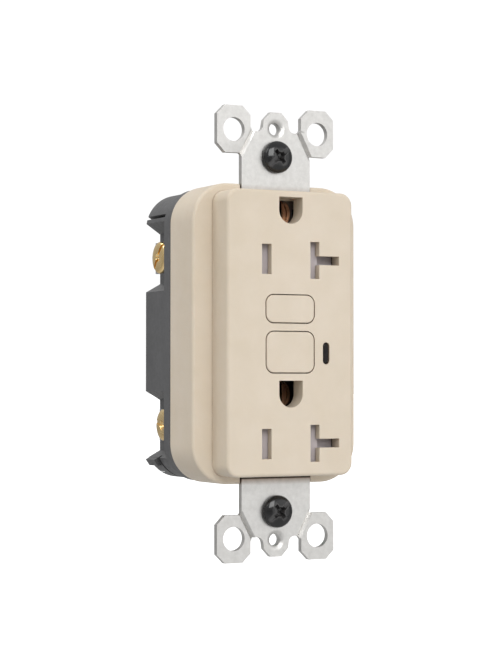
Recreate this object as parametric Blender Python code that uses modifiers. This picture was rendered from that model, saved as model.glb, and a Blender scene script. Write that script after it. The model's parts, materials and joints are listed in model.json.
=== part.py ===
"""A 20 A ground-fault outlet with a flat rectangular face, built as the pieces it comes apart into.

Frame: X to the right seen from the front, +Y into the wall, +Z up. The origin is the centre of the
strap's back face, which seats on the wall box. Lengths below are in millimetres and become metres
where a mesh is made.
"""
import math

import bmesh
import bpy
from mathutils import Matrix, Vector

MM = 0.001
GAP = 0.3                                # clearance kept between neighbouring solids

# Strap
STRAP_THICK = 1.5
STRAP_FRONT = -STRAP_THICK
NECK_HALF = 9.1
WEB_HALF = 4.2
NECK_START = 30.4
PLATE_END = 47.6
EAR_IN, EAR_OUT = 6.75, 15.5
EAR_LOW, EAR_HIGH = 42.3, 53.4
EAR_CHAMFER = 2.1
EAR_HOLE = (11.1, 47.75)
EAR_HOLE_R = 2.8
BOX_SCREW_Z = 41.67                      # device screws, 83.34 mm apart
PLATE_SCREW_Z = 48.42                    # wall plate screws, 96.84 mm apart

# Front cover
FACE_HALF_W, FACE_HALF_H = 16.55, 33.2
FACE_FRONT = -8.9
FACE_WALL = 1.9
FACE_BACK = FACE_FRONT + FACE_WALL
FLANGE_FRONT = -1.17
COVER_HALF_W, COVER_HALF_H = 21.6, 35.1
COVER_CORNER = 9.2
SEAM = 11.0
COVER_WALL = 1.6

# Plug openings
BLADE_X = 6.35
UPPER_Z, LOWER_Z = 17.12, -25.6
GROUND_RISE = 11.45                      # ground pin centre above the blades
GROUND_HOLE_R = 3.1
GROUND_FLAT = 3.15                       # flat top of the ground hole above its centre

# Buttons and lamp
BUTTON_X = -0.2
TEST_Z, RESET_Z = 5.65, -4.4
TEST_HALF = (6.3, 3.2)
RESET_HALF = (6.25, 4.75)
BUTTON_FRONT = -9.1
BUTTON_CORNER = 1.9
BUTTON_PLAY = 0.22                       # gap round a button's cap
LAMP_X, LAMP_Z = 9.35, -4.6

# Rear body
SEAM_GAP = 0.5
REAR_FRONT = SEAM + SEAM_GAP
REAR_BACK = 26.5
REAR_HALF_W, REAR_HALF_H = 21.45, 34.9
REAR_FLOOR = 25.0
POCKET_X = 17.2
POCKET_FRONT = 15.2
CORNER_X, CORNER_Z = 12.35, 25.8         # centre of the outline's corner arcs

# Terminals
SCREW_Y = 20.8
LOAD_Z, LINE_Z = 18.65, -21.66
GROUND_SCREW_X, GROUND_SCREW_Y = 7.0, 20.5
HEAD_R, HEAD_H = 3.85, 1.1
SHANK_R, SHANK_L = 1.95, 5.8
TAP_R = 2.25
BORE_R = TAP_R + 0.15                    # the moulding's holes for the terminal screws
HOUSING_SCREWS = ((15.6, 30.0), (15.6, -31.0))

# Trip mechanism
BOARD_FRONT, BOARD_BACK = 12.0, 13.4
COIL_Y = 18.3
BOBBIN_LOW, BOBBIN_HIGH = 4.0, 17.0
TOROID_Z = -19.1
LATCH_STROKE = 1.5
RESET_POP = 1.0                          # how far the reset button comes out when the outlet trips

AXIS_TURN = {
    "-Y": Matrix.Rotation(math.radians(90), 4, "X"),
    "+Y": Matrix.Rotation(math.radians(-90), 4, "X"),
    "-X": Matrix.Rotation(math.radians(-90), 4, "Y"),
    "+X": Matrix.Rotation(math.radians(90), 4, "Y"),
    "-Z": Matrix.Rotation(math.radians(180), 4, "X"),
    "+Z": Matrix.Identity(4),
}


# ---------------------------------------------------------------- scene and materials

def clear_scene():
    for old in list(bpy.data.objects):
        bpy.data.objects.remove(old, do_unlink=True)


def new_collection(name):
    made = bpy.data.collections.new(name)
    bpy.context.scene.collection.children.link(made)
    return made


def material(name, colour, roughness, metallic=0.0):
    made = bpy.data.materials.new(name)
    made.use_nodes = True
    shader = made.node_tree.nodes["Principled BSDF"]
    shader.inputs["Base Color"].default_value = (*colour, 1.0)
    shader.inputs["Roughness"].default_value = roughness
    shader.inputs["Metallic"].default_value = metallic
    return made


clear_scene()
PARTS = new_collection("gfci_outlet")
CUTTERS = new_collection("cutters")


# ---------------------------------------------------------------- shapes, all given in millimetres

def block(x, y, z):
    """A box between three pairs of limits."""
    shape = bmesh.new()
    bmesh.ops.create_cube(shape, size=1.0)
    low = Vector((x[0], y[0], z[0]))
    high = Vector((x[1], y[1], z[1]))
    for corner in shape.verts:
        share = corner.co + Vector((0.5, 0.5, 0.5))
        corner.co = Vector(low[i] + (high[i] - low[i]) * share[i] for i in range(3)) * MM
    mesh = bpy.data.meshes.new("block")
    shape.to_mesh(mesh)
    shape.free()
    return mesh


def rod(along, centre, radius, span, tip_radius=None, segments=16):
    """A cylinder or cone along X, Y or Z. centre gives the two other coordinates, in X, Y, Z order."""
    shape = bmesh.new()
    tip = radius if tip_radius is None else tip_radius
    bmesh.ops.create_cone(
        shape, cap_ends=True, segments=segments,
        radius1=radius * MM, radius2=tip * MM, depth=(span[1] - span[0]) * MM,
    )
    middle = (span[0] + span[1]) / 2
    place = list(centre)
    place.insert("XYZ".index(along), middle)
    bmesh.ops.transform(
        shape, verts=shape.verts,
        matrix=Matrix.Translation(Vector(place) * MM) @ AXIS_TURN["+" + along],
    )
    mesh = bpy.data.meshes.new("rod")
    shape.to_mesh(mesh)
    shape.free()
    return mesh


def prism(outline, span):
    """A flat outline in X and Z, extruded between two values of Y."""
    curve = bpy.data.curves.new("outline", "CURVE")
    curve.dimensions = "2D"
    curve.fill_mode = "BOTH"
    curve.extrude = (span[1] - span[0]) / 2
    line = curve.splines.new("POLY")
    line.points.add(len(outline) - 1)
    line.use_cyclic_u = True
    for point, (x, z) in zip(line.points, outline):
        point.co = (x, z, 0.0, 1.0)
    holder = bpy.data.objects.new("outline", curve)
    PARTS.objects.link(holder)
    bpy.context.view_layer.update()
    mesh = bpy.data.meshes.new_from_object(holder.evaluated_get(bpy.context.evaluated_depsgraph_get()))
    bpy.data.objects.remove(holder, do_unlink=True)
    shape = bmesh.new()
    shape.from_mesh(mesh)
    bmesh.ops.remove_doubles(shape, verts=shape.verts, dist=0.0005)
    bmesh.ops.dissolve_limit(shape, angle_limit=0.001, verts=shape.verts, edges=shape.edges)
    bmesh.ops.recalc_face_normals(shape, faces=shape.faces)
    shape.to_mesh(mesh)
    shape.free()
    mesh.transform(AXIS_TURN["-Y"])
    mesh.transform(Matrix.Translation((0, (span[0] + span[1]) / 2, 0)))
    mesh.transform(Matrix.Scale(MM, 4))
    return mesh


def arc(centre, radius, start, end, steps):
    """Points on an arc, with its angles in degrees."""
    points = []
    for k in range(steps + 1):
        angle = math.radians(start + (end - start) * k / steps)
        points.append((centre[0] + radius * math.cos(angle), centre[1] + radius * math.sin(angle)))
    return points


def rounded(half_w, half_h, corner, x=0.0, z=0.0, steps=6):
    """A rectangle with round corners, as an outline."""
    points = []
    for quarter, (sx, sz) in enumerate(((1, 1), (-1, 1), (-1, -1), (1, -1))):
        centre = (x + sx * (half_w - corner), z + sz * (half_h - corner))
        points += arc(centre, corner, 90 * quarter, 90 * quarter + 90, steps)
    return points


def mirrored(outline, x=1, z=1):
    """The outline with the sign of X or Z changed, still running the same way round."""
    points = [(px * x, pz * z) for px, pz in outline]
    return points if x * z > 0 else points[::-1]


def merged(meshes):
    """Several meshes that don't touch each other, as one."""
    shape = bmesh.new()
    for mesh in meshes:
        shape.from_mesh(mesh)
    together = bpy.data.meshes.new("merged")
    shape.to_mesh(together)
    shape.free()
    return together


# ---------------------------------------------------------------- pieces and the tools that shape them

def piece(name, mesh, finish, origin=(0, 0, 0)):
    """A named solid whose origin is at the given point."""
    mesh.name = name
    mesh.transform(Matrix.Translation(-Vector(origin) * MM))
    made = bpy.data.objects.new(name, mesh)
    made.location = Vector(origin) * MM
    PARTS.objects.link(made)
    mesh.materials.append(finish)
    bpy.context.view_layer.update()
    return made


def turned(name, profile, finish, origin, axis, steps=20, spin=0.0):
    """A solid of revolution. The profile runs down its outer side, as radius and height along axis.

    A profile that doesn't reach the axis at its ends is closed into a ring.
    """
    mesh = bpy.data.meshes.new(name)
    points = [(r * MM, 0.0, h * MM) for r, h in profile]
    edges = [(k, k + 1) for k in range(len(points) - 1)]
    if profile[-1][0] > 0:
        edges.append((len(points) - 1, 0))
    mesh.from_pydata(points, edges, [])
    made = bpy.data.objects.new(name, mesh)
    PARTS.objects.link(made)
    made.matrix_world = (
        Matrix.Translation(Vector(origin) * MM) @ AXIS_TURN[axis] @ Matrix.Rotation(spin, 4, "Z")
    )
    screw = made.modifiers.new("turn", "SCREW")
    screw.axis = "Z"
    screw.steps = steps
    screw.render_steps = steps
    screw.use_merge_vertices = True
    screw.merge_threshold = 1e-6
    screw.use_smooth_shade = True
    mesh.materials.append(finish)
    bpy.context.view_layer.update()
    return made


def tool(owner, mesh, operation, local=False, bevel=0.0):
    made = bpy.data.objects.new(f"{owner.name}_{operation.lower()}_{len(owner.modifiers)}", mesh)
    CUTTERS.objects.link(made)
    made.hide_render = True
    made.display_type = "WIRE"
    made.parent = owner
    if not local:
        made.matrix_parent_inverse = owner.matrix_world.inverted()
    if bevel:
        round_edges(made, bevel)
    change = owner.modifiers.new(operation.lower(), "BOOLEAN")
    change.operation = operation
    change.solver = "EXACT"
    change.object = made


def cut(owner, *meshes, **options):
    for mesh in meshes:
        tool(owner, mesh, "DIFFERENCE", **options)


def join(owner, *meshes, **options):
    for mesh in meshes:
        tool(owner, mesh, "UNION", **options)


def round_edges(owner, width, segments=3):
    """Rounds the edges that turn by more than 50 degrees, so arcs made of short steps stay as they are."""
    bevel = owner.modifiers.new("edges", "BEVEL")
    bevel.width = width * MM
    bevel.segments = segments
    bevel.limit_method = "ANGLE"
    bevel.angle_limit = math.radians(50)


def smooth(owner, degrees=35):
    owner.data.shade_smooth()
    owner.data.set_sharp_from_angle(angle=math.radians(degrees))


def coil_spring(name, finish, origin, axis, radius, wire, length, turns):
    """A compression spring that starts at origin and runs along axis."""
    curve = bpy.data.curves.new(name, "CURVE")
    curve.dimensions = "3D"
    curve.bevel_depth = wire * MM
    curve.bevel_resolution = 2
    curve.use_fill_caps = True
    steps_per_turn = 8
    count = turns * steps_per_turn + 1
    line = curve.splines.new("POLY")
    line.points.add(count - 1)
    for k, point in enumerate(line.points):
        angle = 2 * math.pi * k / steps_per_turn
        height = wire + (length - 2 * wire) * k / (count - 1)
        point.co = (radius * math.cos(angle) * MM, radius * math.sin(angle) * MM, height * MM, 1.0)
    made = bpy.data.objects.new(name, curve)
    PARTS.objects.link(made)
    made.matrix_world = Matrix.Translation(Vector(origin) * MM) @ AXIS_TURN[axis]
    curve.materials.append(finish)


# ---------------------------------------------------------------- finishes

ALMOND = (0.78, 0.69, 0.57)
DARK_GREY = (0.13, 0.13, 0.135)
COPPER = (0.72, 0.38, 0.22)
GOLD = (0.68, 0.44, 0.14)

FINISHES = {
    "cover": material("almond_cover", ALMOND, 0.45),
    "test": material("almond_test_button", ALMOND, 0.42),
    "reset": material("almond_reset_button", ALMOND, 0.42),
    "lens": material("smoked_lens", (0.02, 0.018, 0.018), 0.12),
    "strap": material("galvanised_strap", (0.66, 0.65, 0.63), 0.36, 1.0),
    "black_screw": material("black_oxide", (0.015, 0.015, 0.017), 0.25, 0.8),
    "fibre": material("grey_fibre", (0.32, 0.31, 0.29), 0.8),
    "rear": material("dark_grey_plastic", DARK_GREY, 0.5),
    "middle": material("dark_grey_inner", DARK_GREY, 0.55),
    "brass": material("brass", GOLD, 0.28, 1.0),
    "silver": material("nickel", (0.66, 0.65, 0.62), 0.28, 1.0),
    "green": material("green_plated", (0.06, 0.30, 0.10), 0.35, 0.7),
    "contact": material("phosphor_bronze", COPPER, 0.32, 1.0),
    "shutter": material("grey_shutter", (0.44, 0.40, 0.42), 0.45),
    "frame": material("black_guide", (0.05, 0.045, 0.04), 0.5),
    "board": material("green_board", (0.03, 0.20, 0.08), 0.45),
    "bobbin": material("nylon_bobbin", (0.70, 0.68, 0.62), 0.5),
    "winding": material("enamelled_wire", (0.50, 0.20, 0.07), 0.3, 1.0),
    "toroid": material("toroid_tape", (0.55, 0.43, 0.10), 0.5),
    "steel": material("spring_steel", (0.55, 0.55, 0.56), 0.3, 1.0),
    "varistor": material("varistor_coat", (0.10, 0.16, 0.36), 0.45),
    "capacitor": material("capacitor_case", (0.52, 0.25, 0.08), 0.4),
    "chip": material("chip_body", (0.02, 0.02, 0.02), 0.5),
    "resistor": material("resistor_body", (0.62, 0.50, 0.34), 0.5),
    "led": material("green_led", (0.20, 0.60, 0.25), 0.2),
    "lifter": material("white_acetal", (0.72, 0.72, 0.70), 0.45),
}


# ---------------------------------------------------------------- casings

def t_slot_outline(z):
    """A tall slot for the upright blade and a leg to the right for the sideways one."""
    left, right, far = BLADE_X - 1.2, BLADE_X + 1.2, BLADE_X + 6.5
    tall, leg = 4.33, 1.05
    return [
        (left, z - tall), (right, z - tall), (right, z - leg), (far, z - leg),
        (far, z + leg), (right, z + leg), (right, z + tall), (left, z + tall),
    ]


def ground_outline(z):
    """A round hole with a flat top."""
    bottom = arc((0, z), GROUND_HOLE_R, 180, 360, 16)
    return bottom + [(GROUND_HOLE_R, z + GROUND_FLAT), (-GROUND_HOLE_R, z + GROUND_FLAT)]


def front_cover():
    shell = piece(
        "front_cover",
        prism(rounded(COVER_HALF_W, COVER_HALF_H, COVER_CORNER, steps=8), (FLANGE_FRONT, SEAM + 3)),
        FINISHES["cover"],
    )
    round_edges(shell, 0.7, 2)
    face = prism(rounded(FACE_HALF_W, FACE_HALF_H, 3.0, steps=6), (FACE_FRONT, FLANGE_FRONT + 1.2))
    join(shell, face, bevel=0.8)
    cut(shell, block((-30, 30), (SEAM, SEAM + 5), (-45, 45)))
    inner_w, inner_h = COVER_HALF_W - COVER_WALL, COVER_HALF_H - COVER_WALL
    cut(
        shell,
        prism(rounded(inner_w, inner_h, COVER_CORNER - COVER_WALL), (0.6, SEAM + 1)),
        prism(rounded(14.9, 31.4, 1.6, steps=3), (FACE_BACK, 1.0)),
    )
    for x, z in HOUSING_SCREWS:
        for side in (-1, 1):
            join(shell, rod("Y", (side * x, z), 2.6, (0.3, 7.3)))
            cut(shell, rod("Y", (side * x, z), 1.5, (1.6, 8.0)))
    through = (FACE_FRONT - 2, FACE_BACK + 0.5)
    for z in (UPPER_Z, LOWER_Z):
        cut(
            shell,
            block((-BLADE_X - 1.25, -BLADE_X + 1.25), through, (z - 3.5, z + 3.5)),
            prism(t_slot_outline(z), through),
            prism(ground_outline(z + GROUND_RISE), through),
        )
    for z, half in ((TEST_Z, TEST_HALF), (RESET_Z, RESET_HALF)):
        opening = rounded(
            half[0] + BUTTON_PLAY, half[1] + BUTTON_PLAY, BUTTON_CORNER + BUTTON_PLAY, BUTTON_X, z, 5
        )
        cut(shell, prism(opening, through))
    cut(shell, prism(rounded(0.88, 2.58, 0.86, LAMP_X, LAMP_Z, 5), through))
    for end in (-1, 1):
        notch = sorted((end * 31.2, end * 37))
        cut(shell, block((-NECK_HALF - GAP, NECK_HALF + GAP), (STRAP_FRONT - GAP, SEAM + 2), notch))
    smooth(shell)


def rear_body():
    shell = piece(
        "rear_body",
        prism(rounded(REAR_HALF_W, REAR_HALF_H, 9.1, steps=6), (REAR_FRONT - 2, REAR_BACK)),
        FINISHES["rear"],
    )
    round_edges(shell, 0.8, 2)
    cut(shell, block((-30, 30), (REAR_FRONT - 4, REAR_FRONT), (-45, 45)))
    upper = [(-POCKET_X, 24.7), (-26.0, 30.6), (-26.0, 7.7), (-POCKET_X, 12.6)]
    lower = [(-POCKET_X, -15.7), (-26.0, -10.6), (-26.0, -32.6), (-POCKET_X, -27.9)]
    groove_arc = arc((CORNER_X, CORNER_Z), 13.0, 22, 80, 4) + arc((CORNER_X, CORNER_Z), 7.6, 80, 22, 4)
    fin = [(-17.6, -28.1), (-21.1, -30.05), (-20.1, -31.5), (-17.6, -31.0)]
    slit = [(-17.78, 26.17), (-25.5, 31.35), (-25.05, 32.01), (-17.33, 26.83)]
    for side in (1, -1):
        for outline in (upper, lower):
            cut(shell, prism(mirrored(outline, x=side), (POCKET_FRONT, REAR_BACK + 1)))
        join(shell, prism(mirrored(fin, x=side), (21.4, REAR_BACK - 0.2)))
        cut(
            shell,
            prism(mirrored(groove_arc, x=side, z=-1), (20.3, 21.1)),
            prism(mirrored(slit, x=side), (16.2, REAR_BACK + 1)),
        )
    cavity = (REAR_FRONT - 1, REAR_FLOOR)
    cut(
        shell,
        block((-15.7, 15.7), cavity, (-28.3, 26.8)),
        block((-12.2, 12.2), cavity, (-31.5, 31.5)),
        block((-19.6, 19.6), (REAR_FRONT - 1.2, REAR_FLOOR), (-11.2, 8.4)),
        block((2.0, 12.0), (POCKET_FRONT, REAR_BACK + 1.5), (-37, -32.9)),
        rod("Z", (GROUND_SCREW_X, GROUND_SCREW_Y), BORE_R, (-34, -30)),
    )
    for side in (-1, 1):
        for z in (LOAD_Z, LINE_Z):
            cut(shell, rod("X", (SCREW_Y, z), BORE_R, sorted((side * 15, side * 18))))
        for x, z in HOUSING_SCREWS:
            cut(shell, rod("Y", (side * x, z), 1.6, (REAR_FRONT - 2, REAR_BACK + 2)))
            cut(shell, rod("Y", (side * x, z), 2.5, (24.0, REAR_BACK + 3), segments=20))
    smooth(shell)


def middle_housing():
    tray = piece(
        "middle_housing",
        prism(rounded(19.7, 33.2, 7.3, steps=4), (7.6, SEAM - 0.1)),
        FINISHES["middle"],
    )
    cut(tray, prism(rounded(18.4, 31.9, 6.0, steps=4), (9.0, SEAM + 1)))
    for end in (-1, 1):
        tongue = sorted((end * 32.9, end * (COVER_HALF_H - 0.05)))
        join(tray, block((-NECK_HALF, NECK_HALF), (GAP, SEAM - 0.2), tongue))
    join(tray, block((-1.6, 1.6), (2.9, 8.0), (12.8, 14.7)))
    depth = (7.0, 12.0)
    for z in (UPPER_Z, LOWER_Z):
        cut(
            tray,
            block((-8.4, -4.4), depth, (z - 4.2, z + 4.2)),
            block((4.4, 13.2), depth, (z - 4.5, z + 4.5)),
            rod("Y", (0, z + GROUND_RISE), 3.4, depth),
        )
    cut(
        tray,
        rod("Y", (BUTTON_X, RESET_Z), 1.9, depth),
        block((8.3, 10.3), depth, (-5.9, -3.3)),
        block((4.4, 9.2), depth, (-33.4, -29.7)),
    )
    for side in (-1, 1):
        cut(
            tray,
            block(sorted((side * 10.6, side * 12.4)), depth, (-3.2, -0.6)),
            block(sorted((side * 13.8, side * 15.8)), depth, (15.1, 22.1)),
        )
        for x, z in HOUSING_SCREWS:
            cut(tray, rod("Y", (side * x, z), 1.7, depth))


# ---------------------------------------------------------------- strap and what is fixed to it

def strap_outline():
    """The right half of one end, from the web outwards, then the other three by mirroring."""
    c = EAR_CHAMFER
    quarter = [
        (WEB_HALF, NECK_START - 0.9), (NECK_HALF, NECK_START), (NECK_HALF, EAR_LOW - 0.5),
        (NECK_HALF + 0.5, EAR_LOW), (EAR_OUT - c, EAR_LOW - 0.05), (EAR_OUT, EAR_LOW + c),
        (EAR_OUT, EAR_HIGH - c), (EAR_OUT - c, EAR_HIGH), (EAR_IN + c, EAR_HIGH),
        (EAR_IN, EAR_HIGH - c), (EAR_IN, PLATE_END + 0.9), (EAR_IN - 0.7, PLATE_END + 0.05),
        (4.9, PLATE_END),
    ]
    quarter += arc((4.9, PLATE_END + 1.5), 1.5, 270, 190, 4)[1:]
    quarter += [(3.2, PLATE_SCREW_Z + 2.0), (1.4, PLATE_SCREW_Z + 3.9)]
    right = [(x, -z) for x, z in quarter[::-1]] + quarter
    return right + [(-x, z) for x, z in right[::-1]]


def mounting_strap():
    strap = piece("mounting_strap", prism(strap_outline(), (STRAP_FRONT, 0)), FINISHES["strap"])
    through = (STRAP_FRONT - 1, 2.5)
    collars, holes, dents = [], [], []
    for end in (-1, 1):
        hole = end * PLATE_SCREW_Z
        collars.append(rod("Y", (0, hole), 2.3, (-0.5, 1.1), tip_radius=2.0))
        holes.append(prism(rounded(2.9, 2.0, 1.7, 0, end * BOX_SCREW_Z), through))
        holes.append(rod("Y", (0, hole), 1.45, through))
        dents.append(rod("Y", (0, hole), 2.7, (STRAP_FRONT - 0.1, STRAP_FRONT + 1.2), tip_radius=0.9))
        for side in (-1, 1):
            holes.append(rod("Y", (side * EAR_HOLE[0], end * EAR_HOLE[1]), EAR_HOLE_R, through))
            dents.append(snap_groove(side, end))
    holes.append(rod("Y", (0, UPPER_Z + GROUND_RISE), GROUND_HOLE_R + 0.6, through))
    holes.append(rod("Y", (0, LOWER_Z + GROUND_RISE), GROUND_HOLE_R + 0.6, through))
    holes.append(rod("Y", (BUTTON_X, RESET_Z), 1.6, through))
    holes.append(block((BUTTON_X - 1.9, BUTTON_X + 1.9), through, (TEST_Z - 1.4, TEST_Z + 1.4)))
    join(strap, merged(collars))
    cut(strap, merged(holes), merged(dents))
    smooth(strap)


def snap_groove(side, end):
    """The V groove across an ear's root, along which the ear snaps off."""
    start = Vector((side * NECK_HALF, 0, end * (EAR_LOW - 0.1)))
    finish = Vector((side * 6.0, 0, end * (PLATE_END + 0.4)))
    run = finish - start
    mesh = block((-0.45, 0.45), (-0.45, 0.45), (-0.6, run.length + 0.6))
    mesh.transform(Matrix.Rotation(math.radians(45), 4, "Z"))
    lean = math.atan2(run.x, run.z)
    mesh.transform(Matrix.Rotation(lean, 4, "Y"))
    mesh.transform(Matrix.Translation((start + Vector((0, STRAP_FRONT, 0))) * MM))
    return mesh


def ground_contact(name, z):
    clip = piece(name, block((-4.0, 4.0), (GAP, 1.0), (z - 4.0, z + 3.8)), FINISHES["contact"])
    for side in (-1, 1):
        join(clip, block(sorted((side * 2.3, side * 3.1)), (0.6, 6.2), (z - 2.6, z + 2.6)))
    cut(clip, block((-2.45, 2.45), (-1, 7), (z - 2.9, z + 2.9)))


def ground_terminal():
    bracket = piece("ground_terminal", block((4.8, 8.8), (GAP, 1.5), (-32.6, -30.0)), FINISHES["steel"])
    join(
        bracket,
        block((4.9, 8.7), (0.6, 18.0), (-31.2, -30.1)),
        block((3.4, 10.6), (15.4, 24.3), (-31.15, -30.05)),
    )
    cut(bracket, rod("Z", (GROUND_SCREW_X, GROUND_SCREW_Y), TAP_R, (-33, -28)))


def screw_retainer(name, z):
    washer = piece(name, prism(rounded(4.0, 3.6, 1.0, 0, z, 3), (GAP, 1.0)), FINISHES["fibre"])
    cut(washer, rod("Y", (0, z), 2.0, (0, 2)))


# ---------------------------------------------------------------- current path

def hot_contact():
    bus = piece(
        "hot_contact", block((-13.4, -10.8), (4.5, 5.3), (-28.6, 21.0)), FINISHES["contact"]
    )
    for z in (UPPER_Z, LOWER_Z):
        join(
            bus,
            block((-11.2, -4.6), (4.55, 5.25), (z - 3.2, z + 3.2)),
            block((-8.3, -7.5), (-2.3, 4.9), (z - 3.1, z + 3.1)),
            block((-5.4, -4.65), (-2.3, 4.9), (z - 3.1, z + 3.1)),
        )
    join(bus, block((-12.1, -10.9), (4.9, 17.4), (-2.9, -0.9)))


def neutral_contact():
    bus = piece(
        "neutral_contact", block((10.8, 13.4), (4.5, 5.3), (-28.6, 21.0)), FINISHES["contact"]
    )
    for z in (UPPER_Z, LOWER_Z):
        join(
            bus,
            block((4.6, 11.2), (4.55, 5.25), (z - 3.2, z + 3.2)),
            block((4.65, 5.4), (-2.3, 4.9), (z - 3.9, z + 3.9)),
        )
        for end in (-1, 1):
            join(
                bus,
                block((7.5, 8.3), (-2.3, 4.9), sorted((z + end * 1.1, z + end * 3.1))),
                block((8.1, 12.9), (-2.25, 4.85), sorted((z + end * 1.15, z + end * 1.9))),
            )
    join(bus, block((10.9, 12.1), (4.9, 17.4), (-2.9, -0.9)))


def line_terminal(name, side):
    """The supply terminal: its plate, and the conductor through both sensing rings to a fixed contact."""
    def across(a, b):
        return sorted((side * a, side * b))
    low, high = TOROID_Z - 0.9, TOROID_Z + 0.9
    plate = piece(name, block(across(14.1, 15.4), (16.2, 24.4), (-25.2, -18.0)), FINISHES["contact"])
    join(
        plate,
        block(across(0.5, 14.6), (23.3, 24.3), (low, high)),
        block(across(0.5, 1.7), (14.1, 24.2), (low + 0.05, high - 0.05)),
        block(across(0.6, 9.6), (14.0, 14.8), (low + 0.1, high - 0.1)),
        block(across(7.8, 9.5), (14.05, 14.75), (low + 0.2, -6.6)),
        block(across(8.4, 10.4), (14.1, 17.4), (-8.3, -6.5)),
    )
    cut(plate, rod("X", (SCREW_Y, LINE_Z), TAP_R, across(13, 17)))


def load_terminal(name, side):
    """The downstream terminal, which runs forward to the plug contacts."""
    def across(a, b):
        return sorted((side * a, side * b))
    plate = piece(name, block(across(14.1, 15.4), (5.6, 24.4), (15.5, 21.8)), FINISHES["contact"])
    join(plate, block(across(10.9, 14.6), (5.65, 6.5), (15.6, 21.7)))
    cut(plate, rod("X", (SCREW_Y, LOAD_Z), TAP_R, across(13, 17)))


# ---------------------------------------------------------------- screws and clamps

def cross_recess(screw, depth, top, reach, slot_width, slot_reach):
    """A cross recess with a screwdriver slot through it, cut from the top of a head."""
    floor = top - depth
    cut(
        screw,
        block((-reach, reach), (-0.55, 0.55), (floor, top + 2)),
        block((-0.55, 0.55), (-reach, reach), (floor, top + 2)),
        rod("Z", (0, 0), 0.5, (floor - 0.5, top + 0.6), tip_radius=1.6, segments=8),
        local=True,
    )
    if slot_width:
        cut(
            screw,
            block((-slot_reach, slot_reach), (-slot_width / 2, slot_width / 2), (top - 0.65, top + 2)),
            local=True,
        )


def mounting_screw(name, z):
    head = [(0, 2.0), (1.2, 1.95), (2.4, 1.65), (3.3, 1.1), (3.75, 0.55), (3.8, 0.3), (3.8, 0.0)]
    shank = [(1.7, 0.0), (1.7, -14.2), (1.2, -15.0), (0, -15.0)]
    screw = turned(name, head + shank, FINISHES["black_screw"], (0, STRAP_FRONT - GAP, z), "-Y")
    cross_recess(screw, 1.5, 2.0, 2.2, 0, 0)


def clamp_and_screw(names, finish, at, axis, spin):
    """A terminal screw and the plate under its head. at is the head's underside on the screw's axis."""
    head = [(0, HEAD_H), (2.7, HEAD_H - 0.1), (HEAD_R, HEAD_H - 0.5), (HEAD_R, 0)]
    shank = [(SHANK_R, 0), (SHANK_R, -SHANK_L + 0.6), (1.4, -SHANK_L), (0, -SHANK_L)]
    screw = turned(names[0], head + shank, finish, at, axis, spin=spin)
    cross_recess(screw, 0.8, HEAD_H, 1.7, 0.9, 4.5)
    turn = Matrix.Translation(Vector(at) * MM) @ AXIS_TURN[axis]
    plate = block((-3.75, 3.75), (-3.75, 3.75), (-0.95, -0.2))
    plate.transform(turn)
    clamp = piece(names[1], plate, FINISHES["steel"], at)
    hole = rod("Z", (0, 0), TAP_R, (-3, 1))
    hole.transform(turn)
    cut(clamp, hole)


def terminal_screws():
    tight = POCKET_X + 1.2
    for side, pole, finish in ((-1, "hot", "brass"), (1, "neutral", "silver")):
        axis = "-X" if side < 0 else "+X"
        for role, z, spin in (("load", LOAD_Z, 2.5), ("line", LINE_Z, 1.35)):
            backed_out = 1.1 if (side, role) == (-1, "load") else 0.0
            names = (f"{role}_{pole}_screw", f"{role}_{pole}_clamp")
            at = (side * (tight + backed_out), SCREW_Y, z)
            clamp_and_screw(names, FINISHES[finish], at, axis, spin)
    at = (GROUND_SCREW_X, GROUND_SCREW_Y, -34.1)
    clamp_and_screw(("ground_screw", "ground_clamp"), FINISHES["green"], at, "-Z", 0.4)


def housing_screw(name, x, z):
    head = [(0, 1.5), (1.4, 1.4), (2.1, 0.9), (2.2, 0.0)]
    shank = [(1.25, 0.0), (1.25, -21.4), (0.6, -22.2), (0, -22.2)]
    screw = turned(name, head + shank, FINISHES["steel"], (x, 24.2, z), "+Y", steps=12)
    cut(
        screw,
        block((-1.5, 1.5), (-0.3, 0.3), (0.7, 3)),
        block((-0.3, 0.3), (-1.5, 1.5), (0.7, 3)),
        local=True,
    )


# ---------------------------------------------------------------- buttons, lamp and shutters

def button(name, z, half, finish, pop_out):
    """A cap with a lip that holds it behind the face. pop_out is how far it can come forward."""
    lip_front = FACE_BACK + GAP + pop_out
    cap = piece(
        name,
        prism(rounded(*half, BUTTON_CORNER, BUTTON_X, z, 6), (BUTTON_FRONT, lip_front + 0.9)),
        finish,
        (BUTTON_X, BUTTON_FRONT, z),
    )
    round_edges(cap, 0.35, 2)
    lip = rounded(half[0] + 0.7, half[1] + 0.55, BUTTON_CORNER, BUTTON_X, z, 4)
    join(cap, prism(lip, (lip_front, lip_front + 1.1)))
    smooth(cap)
    return cap


def test_button():
    cap = button("test_button", TEST_Z, TEST_HALF, FINISHES["test"], 0.0)
    join(cap, block((BUTTON_X - 1.5, BUTTON_X + 1.5), (-6.2, 1.9), (TEST_Z - 1.0, TEST_Z + 1.0)))


def reset_button():
    cap = button("reset_button", RESET_Z, RESET_HALF, FINISHES["reset"], RESET_POP)
    cut(cap, rod("Y", (BUTTON_X, RESET_Z), 1.5, (-6.6, -4.0)))
    pin = [(1.2, -6.9), (1.2, -16.4), (0.75, -16.9), (0.75, -20.9), (1.3, -21.0), (1.3, -21.9), (0.5, -22.6)]
    turned(
        "reset_pin", [(0, 6.3), (1.2, 6.3)] + pin + [(0, -22.6)], FINISHES["steel"],
        (BUTTON_X, 0, RESET_Z), "-Y", steps=16,
    )
    coil_spring(
        "reset_spring", FINISHES["steel"], (BUTTON_X, STRAP_FRONT - 0.2, RESET_Z), "-Y", 2.3, 0.18, 2.7, 3
    )


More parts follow.
